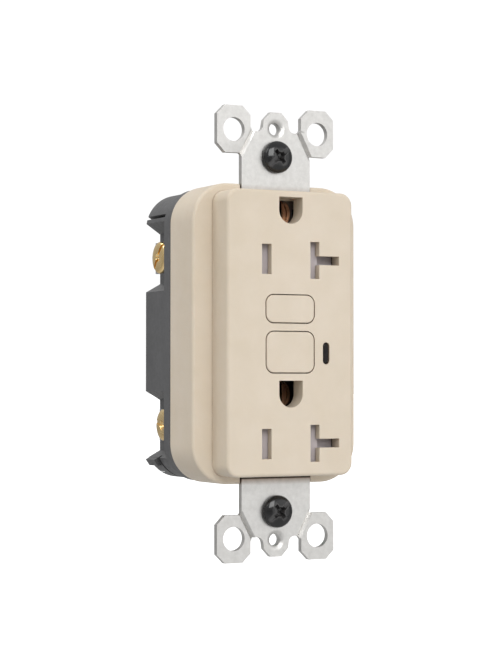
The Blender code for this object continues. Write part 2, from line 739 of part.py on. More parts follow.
def test_blade():
    """A leaf that the test button bends against its contact. Its origin is on its root."""
    root = (BUTTON_X, 2.45, 13.3)
    leaf = piece(
        "test_blade", block((BUTTON_X - 1.2, BUTTON_X + 1.2), (2.2, 2.6), (4.6, 14.4)),
        FINISHES["contact"], root,
    )
    join(leaf, rod("Y", (BUTTON_X, TEST_Z), 0.7, (2.4, 2.9), segments=12))


def indicator():
    lens = piece(
        "indicator_lens",
        prism(rounded(0.7, 2.4, 0.69, LAMP_X, LAMP_Z, 5), (FACE_FRONT + 0.12, -5.8)),
        FINISHES["lens"],
    )
    join(
        lens,
        prism(rounded(1.35, 3.05, 0.9, LAMP_X, LAMP_Z, 3), (FACE_BACK + GAP, -5.6)),
        block((LAMP_X - 0.75, LAMP_X + 0.75), (-6.0, 9.3), (LAMP_Z - 0.75, LAMP_Z + 0.75)),
    )
    smooth(lens)
    piece("indicator_led", rod("Y", (LAMP_X, LAMP_Z), 1.4, (9.6, 11.7)), FINISHES["led"])


def shutter_set(label, z):
    """One socket's guide, sliding shutter and return spring."""
    guide = piece(
        f"shutter_guide_{label}", block((-14.3, 14.3), (-3.6, -2.6), (z - 5.2, z + 7.8)), FINISHES["frame"]
    )
    join(
        guide,
        block((-14.3, -13.1), (-6.6, -3.0), (z - 5.1, z + 7.7)),
        block((0.1, 1.1), (-6.4, -3.0), (z + 5.5, z + 7.7)),
    )
    cut(
        guide,
        block((-8.4, -4.4), (-5, -1), (z - 4.2, z + 4.2)),
        block((4.4, 13.2), (-5, -1), (z - 4.6, z + 4.6)),
    )
    slider = piece(
        f"shutter_{label}", block((-12.4, 11.4), (-5.0, -3.9), (z - 5.0, z + 5.0)),
        FINISHES["shutter"], (0, -4.5, z),
    )
    for start in (-8.0, 4.8):
        ramp = block((start, start + 3.3), (-6.7, -4.5), (z - 4.8, z + 4.8))
        for corner in ramp.vertices:
            if corner.co.x < (start + 1) * MM and corner.co.y < -5 * MM:
                corner.co.y = -5.05 * MM
        join(slider, ramp)
    join(slider, block((-9.4, -8.4), (-5.6, -3.95), (z + 4.0, z + 7.3)))
    cut(
        slider,
        block((-11.4, -8.2), (-8, -3), (z - 3.9, z + 3.9)),
        block((1.6, 4.6), (-8, -3), (z - 4.5, z + 4.5)),
    )
    coil_spring(
        f"shutter_spring_{label}", FINISHES["steel"], (-8.2, -4.6, z + 6.4), "+X", 0.65, 0.12, 8.1, 4
    )


# ---------------------------------------------------------------- board, sensing rings and trip mechanism

def circuit_board():
    outline = [
        (-11.8, -29.3), (11.8, -29.3), (11.8, -27.9), (13.7, -27.8), (13.7, 26.3), (11.8, 26.4),
        (11.8, 29.3), (-11.8, 29.3), (-11.8, 26.4), (-13.7, 26.3), (-13.7, -27.8), (-11.8, -27.9),
    ]
    board = piece("circuit_board", prism(outline, (BOARD_FRONT, BOARD_BACK)), FINISHES["board"])
    cut(board, rod("Y", (BUTTON_X, RESET_Z), 1.8, (11, 15)))
    for side in (-1, 1):
        cut(board, block(sorted((side * 10.6, side * 12.4)), (11, 15), (-3.2, -0.6)))


def board_parts():
    varistor = rod("Z", (-7.0, 18.3), 4.0, (24.2, 26.8), segments=24)
    piece("surge_varistor", varistor, FINISHES["varistor"])
    case = piece("filter_capacitor", block((1.5, 10.5), (13.7, 19.6), (23.6, 28.2)), FINISHES["capacitor"])
    round_edges(case, 0.6, 2)
    chip = piece("controller_chip", block((5.2, 9.4), (13.7, 15.2), (4.5, 10.5)), FINISHES["chip"])
    round_edges(chip, 0.2, 1)
    switch = arc((-7.6, 8.6), 2.4, 200, 340, 10)
    piece("silicon_switch", prism(switch, (13.7, 18.0)), FINISHES["chip"])
    body = [(0, 3.0), (0.8, 3.0), (1.05, 2.7), (1.05, 2.0), (0.85, 1.7)]
    tail = [(r, -h) for r, h in body[::-1]]
    turned("test_resistor", body + tail, FINISHES["resistor"], (8.2, 15.0, 14.5), "+X", steps=12)


def sensing_rings():
    profile = [(2.9, 1.2), (3.4, 1.7), (5.7, 1.7), (6.2, 1.2), (6.2, -1.2), (5.7, -1.7), (3.4, -1.7), (2.9, -1.2)]
    for name, y in (("sense_coil", 17.1), ("neutral_coil", 21.0)):
        turned(name, profile, FINISHES["toroid"], (0, y, TOROID_Z), "+Y", steps=20)


def solenoid():
    sleeve = [(1.8, BOBBIN_HIGH), (2.4, BOBBIN_HIGH), (2.4, BOBBIN_LOW), (1.8, BOBBIN_LOW)]
    bobbin = turned("solenoid_bobbin", sleeve, FINISHES["bobbin"], (BUTTON_X, COIL_Y, 0), "+Z", steps=20)
    for low in (BOBBIN_LOW + 0.01, BOBBIN_HIGH - 1.01):
        flange = prism(rounded(4.1, 0.5, 0.1, 0, low + 0.5, 1), (-4.1, 4.1))
        join(bobbin, flange, local=True)
    cut(bobbin, rod("Z", (0, 0), 1.8, (BOBBIN_LOW - 1, BOBBIN_HIGH + 1), segments=20), local=True)
    low, high = BOBBIN_LOW + 1.3, BOBBIN_HIGH - 1.3
    ring = [(2.7, high), (3.9, high), (3.9, low), (2.7, low)]
    turned("solenoid_coil", ring, FINISHES["winding"], (BUTTON_X, COIL_Y, 0), "+Z", steps=24)
    rod_profile = [(0, 21.8), (2.6, 21.8), (2.6, 20.8), (1.5, 20.8), (1.5, 1.3), (1.1, 0.9), (0, 0.9)]
    turned("solenoid_plunger", rod_profile, FINISHES["steel"], (BUTTON_X, COIL_Y, 0), "+Z", steps=20)
    coil_spring(
        "plunger_spring", FINISHES["steel"], (BUTTON_X, COIL_Y, BOBBIN_HIGH + 0.1), "+Z", 2.1, 0.18, 3.6, 3
    )


def latch_and_lifter():
    x, z = BUTTON_X, RESET_Z
    lifter = piece("contact_lifter", block((x - 5.3, x + 5.3), (16.2, 20.6), (-9.4, -1.4)), FINISHES["lifter"])
    join(lifter, block((-12.4, 12.4), (18.8, 20.2), (-7.2, -1.6)))
    cut(
        lifter,
        block((x - 3.3, x + 3.3), (17.6, 19.0), (-12, 3)),
        rod("Y", (x, z), 1.7, (15, 22)),
    )
    plate = piece(
        "latch_plate", block((x - 3.0, x + 3.0), (17.9, 18.7), (-8.6, 0.6)), FINISHES["steel"],
    )
    cut(
        plate,
        rod("Y", (x, z + LATCH_STROKE), 1.6, (17, 20)),
        block((x - 1.0, x + 1.0), (17, 20), (z - 1.1, z + LATCH_STROKE)),
    )
    for name, side in (("hot_bridge", -1), ("neutral_bridge", 1)):
        span = sorted((side * 8.3, side * 12.2))
        piece(name, block(span, (17.7, 18.5), (-8.2, -1.0)), FINISHES["contact"])


# ---------------------------------------------------------------- the whole outlet

front_cover()
rear_body()
middle_housing()
mounting_strap()
for ending, sign in (("upper", 1), ("lower", -1)):
    mounting_screw(f"mounting_screw_{ending}", sign * BOX_SCREW_Z)
    screw_retainer(f"screw_retainer_{ending}", sign * BOX_SCREW_Z)
ground_contact("ground_contact_upper", UPPER_Z + GROUND_RISE)
ground_contact("ground_contact_lower", LOWER_Z + GROUND_RISE)
ground_terminal()
hot_contact()
neutral_contact()
line_terminal("line_hot_terminal", -1)
line_terminal("line_neutral_terminal", 1)
load_terminal("load_hot_terminal", -1)
load_terminal("load_neutral_terminal", 1)
terminal_screws()
for side_name, direction in (("left", -1), ("right", 1)):
    for end_name, (screw_x, screw_z) in zip(("upper", "lower"), HOUSING_SCREWS):
        housing_screw(f"housing_screw_{end_name}_{side_name}", direction * screw_x, screw_z)
test_button()
reset_button()
test_blade()
indicator()
shutter_set("upper", UPPER_Z)
shutter_set("lower", LOWER_Z)
circuit_board()
board_parts()
sensing_rings()
solenoid()
latch_and_lifter()
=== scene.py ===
"""The outlet in its final look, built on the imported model. Shapes are in millimetres until a mesh is made."""
import json
import math

import bmesh
import bpy
from mathutils import Matrix, Vector


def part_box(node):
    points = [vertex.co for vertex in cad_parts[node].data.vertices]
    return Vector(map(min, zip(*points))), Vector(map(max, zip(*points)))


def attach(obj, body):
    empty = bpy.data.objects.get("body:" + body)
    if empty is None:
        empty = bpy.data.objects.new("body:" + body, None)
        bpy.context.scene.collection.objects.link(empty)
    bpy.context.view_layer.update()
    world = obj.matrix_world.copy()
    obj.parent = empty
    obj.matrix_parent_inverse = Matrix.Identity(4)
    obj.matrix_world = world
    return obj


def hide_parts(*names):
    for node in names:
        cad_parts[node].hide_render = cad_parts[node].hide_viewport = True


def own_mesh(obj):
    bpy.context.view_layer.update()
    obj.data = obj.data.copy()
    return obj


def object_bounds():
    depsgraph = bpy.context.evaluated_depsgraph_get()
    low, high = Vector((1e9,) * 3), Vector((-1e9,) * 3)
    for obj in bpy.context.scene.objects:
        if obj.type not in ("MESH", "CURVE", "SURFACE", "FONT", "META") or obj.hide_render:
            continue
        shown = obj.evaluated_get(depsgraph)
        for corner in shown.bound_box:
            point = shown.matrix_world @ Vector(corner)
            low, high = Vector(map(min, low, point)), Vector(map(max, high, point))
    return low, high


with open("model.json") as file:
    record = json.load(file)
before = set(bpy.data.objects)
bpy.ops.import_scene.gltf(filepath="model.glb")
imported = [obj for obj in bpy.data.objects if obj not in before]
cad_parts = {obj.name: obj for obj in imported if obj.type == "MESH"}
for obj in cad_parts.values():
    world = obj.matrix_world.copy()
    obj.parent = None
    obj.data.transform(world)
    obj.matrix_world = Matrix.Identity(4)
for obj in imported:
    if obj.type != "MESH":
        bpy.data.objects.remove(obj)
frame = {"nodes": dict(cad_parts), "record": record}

MM = 0.001
CAD_BOX = [list(corner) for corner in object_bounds()]
SLOT_OF = {part["node"]: part["material_slot"] for part in frame["record"]["subparts"]}
BODY_OF = {
    node: body for body, nodes in frame["record"]["behaviour"]["bodies"].items() for node in nodes
}

AXIS_TURN = {
    "-Y": Matrix.Rotation(math.radians(90), 4, "X"),
    "+Y": Matrix.Rotation(math.radians(-90), 4, "X"),
    "-X": Matrix.Rotation(math.radians(-90), 4, "Y"),
    "+X": Matrix.Rotation(math.radians(90), 4, "Y"),
    "-Z": Matrix.Rotation(math.radians(180), 4, "X"),
    "+Z": Matrix.Identity(4),
}


# ---------------------------------------------------------------- sizes read from the frame

def extent(node, axis):
    """The lowest and highest value of a CAD node along X, Y or Z, in millimetres."""
    low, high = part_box(node)
    k = "XYZ".index(axis)
    return low[k] / MM, high[k] / MM


def centre(node, axis):
    low, high = extent(node, axis)
    return (low + high) / 2


COVER_HALF_W = extent("front_cover", "X")[1]
COVER_HALF_H = extent("front_cover", "Z")[1]
FACE_FRONT, SEAM = extent("front_cover", "Y")
COVER_CORNER = 9.2
COVER_WALL = 1.6
FACE_HALF_W, FACE_HALF_H = COVER_HALF_W - 5.05, COVER_HALF_H - 1.9
FACE_WALL = 1.9
FACE_BACK = FACE_FRONT + FACE_WALL
FLANGE_FRONT = FACE_FRONT + 7.73
BUTTON_CORNER = 1.9
BUTTON_PLAY = 0.22                       # the gap round a button's cap
PIN_X = -0.2                             # the reset pin's place, a little left of the middle

STRAP_FRONT = extent("mounting_strap", "Y")[0]
EAR_OUT = extent("mounting_strap", "X")[1]
EAR_HIGH = extent("mounting_strap", "Z")[1]
NECK_HALF = 9.1
WEB_HALF = 4.2
NECK_START = 30.4
BOX_SCREW_Z = centre("mounting_screw_upper", "Z")
PLATE_SCREW_Z = BOX_SCREW_Z + 6.75

REAR_HALF_W = extent("rear_body", "X")[1]
REAR_HALF_H = extent("rear_body", "Z")[1]
REAR_FRONT, REAR_BACK = extent("rear_body", "Y")
REAR_CORNER = 9.1
POCKET_X = 17.2
POCKET_FRONT = 15.2

BLADE_X = 6.35
GUIDE_RISE = 1.3                         # how far a shutter guide's middle stands above its slots' middle
UPPER_Z = centre("shutter_guide_upper", "Z") - GUIDE_RISE
LOWER_Z = centre("shutter_guide_lower", "Z") - GUIDE_RISE
GROUND_RISE = 11.45
GROUND_HOLE_R = 3.1
HOUSING_SCREWS = ((15.6, 30.0), (15.6, -31.0))
WIDE, TALL = 30, 45                      # past the mouldings' edges on every side


# ---------------------------------------------------------------- shapes, all given in millimetres

def block(x, y, z):
    """A box between three pairs of limits."""
    shape = bmesh.new()
    bmesh.ops.create_cube(shape, size=1.0)
    low = Vector((x[0], y[0], z[0]))
    high = Vector((x[1], y[1], z[1]))
    for corner in shape.verts:
        share = corner.co + Vector((0.5, 0.5, 0.5))
        corner.co = Vector(low[i] + (high[i] - low[i]) * share[i] for i in range(3)) * MM
    mesh = bpy.data.meshes.new("block")
    shape.to_mesh(mesh)
    shape.free()
    return mesh


def rod(along, at, radius, span, tip_radius=None, segments=48):
    """A cylinder or cone along X, Y or Z. at gives the two other coordinates, in X, Y, Z order."""
    shape = bmesh.new()
    tip = radius if tip_radius is None else tip_radius
    bmesh.ops.create_cone(
        shape, cap_ends=True, segments=segments,
        radius1=radius * MM, radius2=tip * MM, depth=(span[1] - span[0]) * MM,
    )
    place = list(at)
    place.insert("XYZ".index(along), (span[0] + span[1]) / 2)
    bmesh.ops.transform(
        shape, verts=shape.verts,
        matrix=Matrix.Translation(Vector(place) * MM) @ AXIS_TURN["+" + along],
    )
    mesh = bpy.data.meshes.new("rod")
    shape.to_mesh(mesh)
    shape.free()
    return mesh


def prism(outline, span):
    """A flat outline in X and Z, extruded between two values of Y."""
    curve = bpy.data.curves.new("outline", "CURVE")
    curve.dimensions = "2D"
    curve.fill_mode = "BOTH"
    curve.extrude = (span[1] - span[0]) / 2
    line = curve.splines.new("POLY")
    line.points.add(len(outline) - 1)
    line.use_cyclic_u = True
    for point, (x, z) in zip(line.points, outline):
        point.co = (x, z, 0.0, 1.0)
    holder = bpy.data.objects.new("outline", curve)
    bpy.context.scene.collection.objects.link(holder)
    bpy.context.view_layer.update()
    mesh = bpy.data.meshes.new_from_object(holder.evaluated_get(bpy.context.evaluated_depsgraph_get()))
    bpy.data.objects.remove(holder, do_unlink=True)
    shape = bmesh.new()
    shape.from_mesh(mesh)
    bmesh.ops.remove_doubles(shape, verts=shape.verts, dist=0.0005)
    bmesh.ops.dissolve_limit(shape, angle_limit=0.001, verts=shape.verts, edges=shape.edges)
    bmesh.ops.recalc_face_normals(shape, faces=shape.faces)
    shape.to_mesh(mesh)
    shape.free()
    mesh.transform(AXIS_TURN["-Y"])
    mesh.transform(Matrix.Translation((0, (span[0] + span[1]) / 2, 0)))
    mesh.transform(Matrix.Scale(MM, 4))
    return mesh


def arc(middle, radius, start, end, steps):
    """Points on an arc, with its angles in degrees."""
    points = []
    for k in range(steps + 1):
        angle = math.radians(start + (end - start) * k / steps)
        points.append((middle[0] + radius * math.cos(angle), middle[1] + radius * math.sin(angle)))
    return points


def rounded(half_w, half_h, corner, x=0.0, z=0.0, steps=12):
    """A rectangle with round corners, as an outline."""
    points = []
    for quarter, (sx, sz) in enumerate(((1, 1), (-1, 1), (-1, -1), (1, -1))):
        middle = (x + sx * (half_w - corner), z + sz * (half_h - corner))
        points += arc(middle, corner, 90 * quarter, 90 * quarter + 90, steps)
    return points


def mirrored(outline, x=1, z=1):
    """The outline with the sign of X or Z changed, still running the same way round."""
    points = [(px * x, pz * z) for px, pz in outline]
    return points if x * z > 0 else points[::-1]


def merged(meshes):
    """Several meshes that don't touch each other, as one."""
    shape = bmesh.new()
    for mesh in meshes:
        shape.from_mesh(mesh)
    together = bpy.data.meshes.new("merged")
    shape.to_mesh(together)
    shape.free()
    return together


# ---------------------------------------------------------------- pieces

class Piece:
    """A visual piece: a mesh that is cut, joined and rounded, then baked and set on a CAD body."""

    def __init__(self, name, mesh, matrix=None):
        self.made = bpy.data.objects.new(name, mesh)
        self.made.matrix_world = matrix or Matrix.Identity(4)
        bpy.context.scene.collection.objects.link(self.made)
        self.tools = []

    def _tool(self, mesh, operation, local, edge):
        holder = bpy.data.objects.new("tool", mesh)
        bpy.context.scene.collection.objects.link(holder)
        if local:
            holder.matrix_world = self.made.matrix_world
        if edge:
            bevel = holder.modifiers.new("edge", "BEVEL")
            bevel.width = edge * MM
            bevel.segments = 5
            bevel.limit_method = "ANGLE"
            bevel.angle_limit = math.radians(50)
        self.tools.append(holder)
        change = self.made.modifiers.new(operation, "BOOLEAN")
        change.operation = operation
        change.solver = "EXACT"
        change.object = holder

    def cut(self, *meshes, local=False):
        for mesh in meshes:
            self._tool(mesh, "DIFFERENCE", local, 0.0)

    def join(self, *meshes, edge=0.0):
        for mesh in meshes:
            self._tool(mesh, "UNION", False, edge)

    def round_edges(self, width, segments=4, angle=50):
        bevel = self.made.modifiers.new("edges", "BEVEL")
        bevel.width = width * MM
        bevel.segments = segments
        bevel.limit_method = "ANGLE"
        bevel.angle_limit = math.radians(angle)

    def mesh(self):
        """The finished mesh, for use as a tool. The piece itself is removed."""
        bpy.context.view_layer.update()
        made = bpy.data.meshes.new_from_object(self.made.evaluated_get(bpy.context.evaluated_depsgraph_get()))
        for holder in self.tools + [self.made]:
            bpy.data.objects.remove(holder, do_unlink=True)
        return made

    def bake(self, node, sharp=40):
        """Applies everything, gives the piece its material and puts it in place of a CAD node."""
        bpy.context.view_layer.update()
        seen = self.made.evaluated_get(bpy.context.evaluated_depsgraph_get())
        mesh = bpy.data.meshes.new_from_object(seen)
        self.made.modifiers.clear()
        self.made.data = mesh
        for holder in self.tools:
            bpy.data.objects.remove(holder, do_unlink=True)
        mesh.shade_smooth()
        mesh.set_sharp_from_angle(angle=math.radians(sharp))
        weigh = self.made.modifiers.new("even_faces", "WEIGHTED_NORMAL")
        weigh.keep_sharp = True
        weigh.weight = 100
        mesh.materials.clear()
        mesh.materials.append(finish(SLOT_OF[node]))
        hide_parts(node)
        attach(self.made, BODY_OF[node])
        return self.made


def turned(profile, steps=64):
    """A solid of revolution about Z. The profile runs down its outer side, as radius and height."""
    mesh = bpy.data.meshes.new("profile")
    points = [(r * MM, 0.0, h * MM) for r, h in profile]
    edges = [(k, k + 1) for k in range(len(points) - 1)]
    if profile[-1][0] > 0:
        edges.append((len(points) - 1, 0))
    mesh.from_pydata(points, edges, [])
    holder = bpy.data.objects.new("profile", mesh)
    bpy.context.scene.collection.objects.link(holder)
    screw = holder.modifiers.new("turn", "SCREW")
    screw.steps = steps
    screw.render_steps = steps
    screw.use_merge_vertices = True
    screw.merge_threshold = 1e-6
    bpy.context.view_layer.update()
    made = bpy.data.meshes.new_from_object(holder.evaluated_get(bpy.context.evaluated_depsgraph_get()))
    bpy.data.objects.remove(holder, do_unlink=True)
    return made


def thread(node, screw, core, crest, pitch, top, bottom):
    """A helical thread ridge on a screw's shank, riding with the screw. Heights run along its axis."""
    mesh = bpy.data.meshes.new(node + "_thread")
    half, sunk = pitch * 0.42, 0.1
    middle = top - pitch * 0.5
    points = [(core - sunk, 0, top), (core, 0, middle + half), (crest, 0, middle)]
    points += [(core, 0, middle - half), (core - sunk, 0, top - pitch)]
    mesh.from_pydata([tuple(c * MM for c in p) for p in points], [(k, k + 1) for k in range(4)], [])
    made = bpy.data.objects.new(node + "_thread", mesh)
    bpy.context.scene.collection.objects.link(made)
    made.matrix_world = screw.matrix_world.copy()
    turns = made.modifiers.new("helix", "SCREW")
    turns.screw_offset = -pitch * MM
    turns.iterations = int((top - bottom) / pitch) - 1
    turns.steps = 24
    turns.render_steps = 24
    turns.use_merge_vertices = True
    turns.merge_threshold = 1e-6
    turns.use_smooth_shade = False
    mesh.materials.append(finish(SLOT_OF[node]))
    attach(made, BODY_OF[node])


# ---------------------------------------------------------------- materials

def linear(r, g, b):
    """A display colour, 0 to 255, as the linear values a shader takes."""
    values = []
    for part in (r, g, b):
        share = part / 255
        values.append(share / 12.92 if share <= 0.04045 else ((share + 0.055) / 1.055) ** 2.4)
    return (*values, 1.0)


class Look:
    """A procedural material in the object's own coordinates, so its scale is in features per metre."""

    def __init__(self, name):
        self.material = bpy.data.materials.new(name)
        self.material.use_nodes = True
        self.nodes = self.material.node_tree.nodes
        self.links = self.material.node_tree.links
        self.shader = self.nodes["Principled BSDF"]
        self.place = self.nodes.new("ShaderNodeTexCoord").outputs["Object"]
        self.bump_out = None

    def set(self, **values):
        for key, value in values.items():
            self.shader.inputs[key.replace("_", " ")].default_value = value

    def stretched(self, scale):
        mapping = self.nodes.new("ShaderNodeMapping")
        mapping.inputs["Scale"].default_value = scale
        self.links.new(self.place, mapping.inputs["Vector"])
        return mapping.outputs["Vector"]

    def noise(self, scale, detail=3.0, roughness=0.5, stretch=None):
        made = self.nodes.new("ShaderNodeTexNoise")
        made.inputs["Scale"].default_value = scale
        made.inputs["Detail"].default_value = detail
        made.inputs["Roughness"].default_value = roughness
        self.links.new(self.stretched(stretch) if stretch else self.place, made.inputs["Vector"])
        return made.outputs["Fac"]

    def cells(self, scale, feature="F1", output="Distance"):
        made = self.nodes.new("ShaderNodeTexVoronoi")
        made.feature = feature
        made.inputs["Scale"].default_value = scale
        self.links.new(self.place, made.inputs["Vector"])
        return made.outputs[output]

    def bands(self, scale, direction="Z", distortion=0.0):
        made = self.nodes.new("ShaderNodeTexWave")
        made.bands_direction = direction
        made.inputs["Scale"].default_value = scale
        made.inputs["Distortion"].default_value = distortion
        self.links.new(self.place, made.inputs["Vector"])
        return made.outputs["Fac"]

    def ramp(self, fac, stops):
        made = self.nodes.new("ShaderNodeValToRGB")
        ends = made.color_ramp.elements
        while len(ends) < len(stops):
            ends.new(0.5)
        for element, (place, colour) in zip(ends, stops):
            element.position = place
            element.color = colour
        self.links.new(fac, made.inputs["Fac"])
        return made.outputs["Color"]

    def spread(self, fac, low, high, start=0.3, end=0.7):
        """Maps a texture's range to a range of values."""
        made = self.nodes.new("ShaderNodeMapRange")
        made.inputs["From Min"].default_value = start
        made.inputs["From Max"].default_value = end
        made.inputs["To Min"].default_value = low
        made.inputs["To Max"].default_value = high
        self.links.new(fac, made.inputs["Value"])
        return made.outputs["Result"]

    def overlay(self, base, top, fac, mode="MIX"):
        made = self.nodes.new("ShaderNodeMix")
        made.data_type = "RGBA"
        made.blend_type = mode
        if isinstance(fac, float):
            made.inputs["Factor"].default_value = fac
        else:
            self.links.new(fac, made.inputs["Factor"])
        self.links.new(base, made.inputs["A"])
        self.links.new(top, made.inputs["B"])
        return made.outputs["Result"]

    def height(self):
        """Distance up the piece, along its own Z axis."""
        made = self.nodes.new("ShaderNodeSeparateXYZ")
        self.links.new(self.place, made.inputs["Vector"])
        return made.outputs["Z"]

    def crevices(self, base, painted_shade, reach, amount):
        """Painted shade: joints and inner corners take a darker colour where less light gets in, through an
        ambient occlusion mask.
        """
        made = self.nodes.new("ShaderNodeAmbientOcclusion")
        made.samples = 8
        made.only_local = False
        made.inputs["Distance"].default_value = reach * MM
        return self.overlay(base, painted_shade, self.spread(made.outputs["AO"], amount, 0.0, 0.15, 0.75))

    def worn_edges(self, base, worn, amount):
        """Edges and corners take the worn colour, through the mesh's own curvature."""
        edge = self.nodes.new("ShaderNodeNewGeometry").outputs["Pointiness"]
        return self.overlay(base, worn, self.spread(edge, 0.0, amount, 0.51, 0.6))

    def colour(self, socket):
        self.links.new(socket, self.shader.inputs["Base Color"])

    def rough(self, fac, low, high):
        self.links.new(self.spread(fac, low, high), self.shader.inputs["Roughness"])

    def bump(self, fac, height, strength=1.0):
        """Adds a layer of relief of the given height in millimetres."""
        made = self.nodes.new("ShaderNodeBump")
        made.inputs["Strength"].default_value = strength
        made.inputs["Distance"].default_value = height * MM
        self.links.new(fac, made.inputs["Height"])
        if self.bump_out:
            self.links.new(self.bump_out, made.inputs["Normal"])
        self.bump_out = made.outputs["Normal"]
        self.links.new(self.bump_out, self.shader.inputs["Normal"])


def moulded(
    name, light, dark, rough=(0.38, 0.5), grain=0.012, mottle=140.0, shade=None, reach=0.7, amount=0.75
):
    """Moulded plastic: a faint mottle, flow streaks and a fine spark-eroded grain.

    shade is the colour of the painted shade in its crevices, reach their width in millimetres and amount the
    shade's strength.
    """
    look = Look(name)
    mottle_fac = look.noise(mottle, 4.0, 0.6)
    flow = look.noise(40.0, 2.0, 0.5, stretch=(1.0, 1.0, 0.25))
    base = look.ramp(mottle_fac, ((0.3, dark), (0.7, light)))
    streak = look.ramp(flow, ((0.35, dark), (0.65, light)))
    body = look.overlay(base, streak, 0.4)
    if shade:
        # painted shade: the colour crevices darken to where less light gets in
        crevice_shade = look.ramp(mottle_fac, ((0.3, shade), (0.7, tuple(c * 1.2 for c in shade[:3]) + (1.0,))))
        body = look.crevices(body, crevice_shade, reach, amount)
    look.colour(body)
    look.rough(look.noise(900.0, 3.0), *rough)
    look.bump(look.noise(3800.0, 2.0, 0.6), grain)
    look.bump(look.noise(260.0, 2.0), grain * 1.2)
    look.set(Specular_IOR_Level=0.45)
    return look


def metal(name, light, dark, rough=(0.22, 0.36), lay=None, brushed=0.004):
    """Rolled or plated metal: drifts in tone, fine lines along its lay and small handling marks."""
    look = Look(name)
    drift = look.noise(220.0, 4.0, 0.6)
    lines = look.noise(260.0, 3.0, 0.6, stretch=lay or (9.0, 9.0, 0.6))
    base = look.ramp(drift, ((0.3, dark), (0.7, light)))
    fine = look.ramp(lines, ((0.35, dark), (0.65, light)))
    look.colour(look.overlay(base, fine, 0.5))
    look.rough(lines, *rough)
    look.bump(lines, brushed)
    look.bump(look.noise(1500.0, 2.0), brushed * 0.6)
    look.set(Metallic=1.0)
    return look


def almond(name):
    look = moulded(
        name, linear(222, 209, 191), linear(214, 200, 179), rough=(0.40, 0.52), grain=0.010,
        # painted shade: crevices, gaps and slot edges darken to a warm brown
        shade=linear(128, 88, 52),
    )
    look.set(Subsurface_Weight=0.06, Subsurface_Scale=0.0012, Subsurface_Radius=(1.0, 0.7, 0.45))
    return look


def dark_moulding(name):
    return moulded(
        name, linear(94, 94, 95), linear(80, 80, 81), rough=(0.38, 0.52), grain=0.02,
        # painted shade: grooves and crevices darken to near black over a wide reach
        shade=linear(12, 12, 12), reach=1.5, amount=0.9,
    )


def galvanised(name):
    """Zinc plate: a faint spangle and rolling marks, with a painted tan reflection of the moulding and a
    painted shadow line where it runs in under the moulding.
    """
    rim, foot, shaded, lip = -35.4 * MM, -33.9 * MM, -33.8 * MM, -34.1 * MM
    top_rim, top_foot = 35.0 * MM, 33.4 * MM
    light, dark = (0.70, 0.69, 0.67, 1.0), (0.60, 0.59, 0.57, 1.0)
    look = metal(name, light, dark, rough=(0.34, 0.46), lay=(5.0, 5.0, 0.9), brushed=0.003)
    drift = look.noise(700.0, 4.0, 0.65)
    zinc = look.ramp(drift, ((0.3, dark), (0.7, light)))
    # painted reflection: a tan band of the moulding's colour on the strap next to the cover's lower edge, and a
    # fainter one at the top
    painted_tan_reflection = look.ramp(drift, ((0.3, linear(120, 92, 64)), (0.7, linear(140, 108, 78))))
    # painted shadow: a dark line on the strap right at the cover's lower edge
    shadow = look.ramp(drift, ((0.3, linear(18, 14, 10)), (0.7, linear(30, 24, 18))))
    height = look.height()
    lower = look.overlay(zinc, painted_tan_reflection, look.spread(height, 0.0, 0.7, rim, foot))
    lower = look.overlay(lower, shadow, look.spread(height, 0.0, 0.9, lip, shaded))
    upper = look.overlay(zinc, painted_tan_reflection, look.spread(height, 0.35, 0.0, top_foot, top_rim))
    look.colour(look.overlay(lower, upper, look.spread(height, 0.0, 1.0, -1.0 * MM, 1.0 * MM)))
    spangle = look.cells(520.0, output="Color")
    look.bump(look.spread(spangle, 0.0, 1.0, 0.0, 1.0), 0.003)
    look.bump(look.noise(1200.0, 3.0, 0.6), 0.012)
    return look


def black_oxide(name):
    look = Look(name)
    drift = look.noise(500.0, 4.0, 0.6)
    base = look.ramp(drift, ((0.3, (0.004, 0.004, 0.004, 1.0)), (0.7, (0.010, 0.010, 0.011, 1.0))))
    bare = look.ramp(drift, ((0.3, (0.08, 0.08, 0.08, 1.0)), (0.7, (0.14, 0.13, 0.13, 1.0))))
    look.colour(look.worn_edges(base, bare, 0.35))
    look.rough(drift, 0.10, 0.18)
    look.bump(look.noise(2600.0, 2.0), 0.003)
    look.set(Specular_IOR_Level=0.55)
    return look


def brass(name):
    light, dark = (0.97, 0.76, 0.40, 1.0), (0.82, 0.56, 0.24, 1.0)
    return metal(name, light, dark, rough=(0.16, 0.30), lay=(1.0, 7.0, 7.0))


def nickel(name):
    light, dark = (0.84, 0.82, 0.78, 1.0), (0.66, 0.64, 0.60, 1.0)
    return metal(name, light, dark, rough=(0.16, 0.30), lay=(1.0, 7.0, 7.0))


def green_plated(name):
    light, dark = (0.10, 0.46, 0.17, 1.0), (0.05, 0.30, 0.10, 1.0)
    return metal(name, light, dark, rough=(0.22, 0.36), lay=(7.0, 7.0, 1.0))


def phosphor_bronze(name):
    return metal(name, (0.76, 0.42, 0.25, 1.0), (0.52, 0.25, 0.13, 1.0), rough=(0.24, 0.42))


def spring_steel(name):
    return metal(name, (0.62, 0.62, 0.63, 1.0), (0.46, 0.46, 0.47, 1.0), rough=(0.22, 0.38))


def smoked_lens(name):
    look = Look(name)
    drift = look.noise(900.0, 2.0)
    look.colour(look.ramp(drift, ((0.3, (0.004, 0.003, 0.003, 1.0)), (0.7, (0.010, 0.007, 0.006, 1.0)))))
    look.rough(drift, 0.05, 0.10)
    look.bump(look.noise(1400.0, 1.0), 0.002)
    look.set(Specular_IOR_Level=0.25)
    return look


def plain_moulding(light, dark, **options):
    def build(name):
        return moulded(name, linear(*light), linear(*dark), **options)
    return build


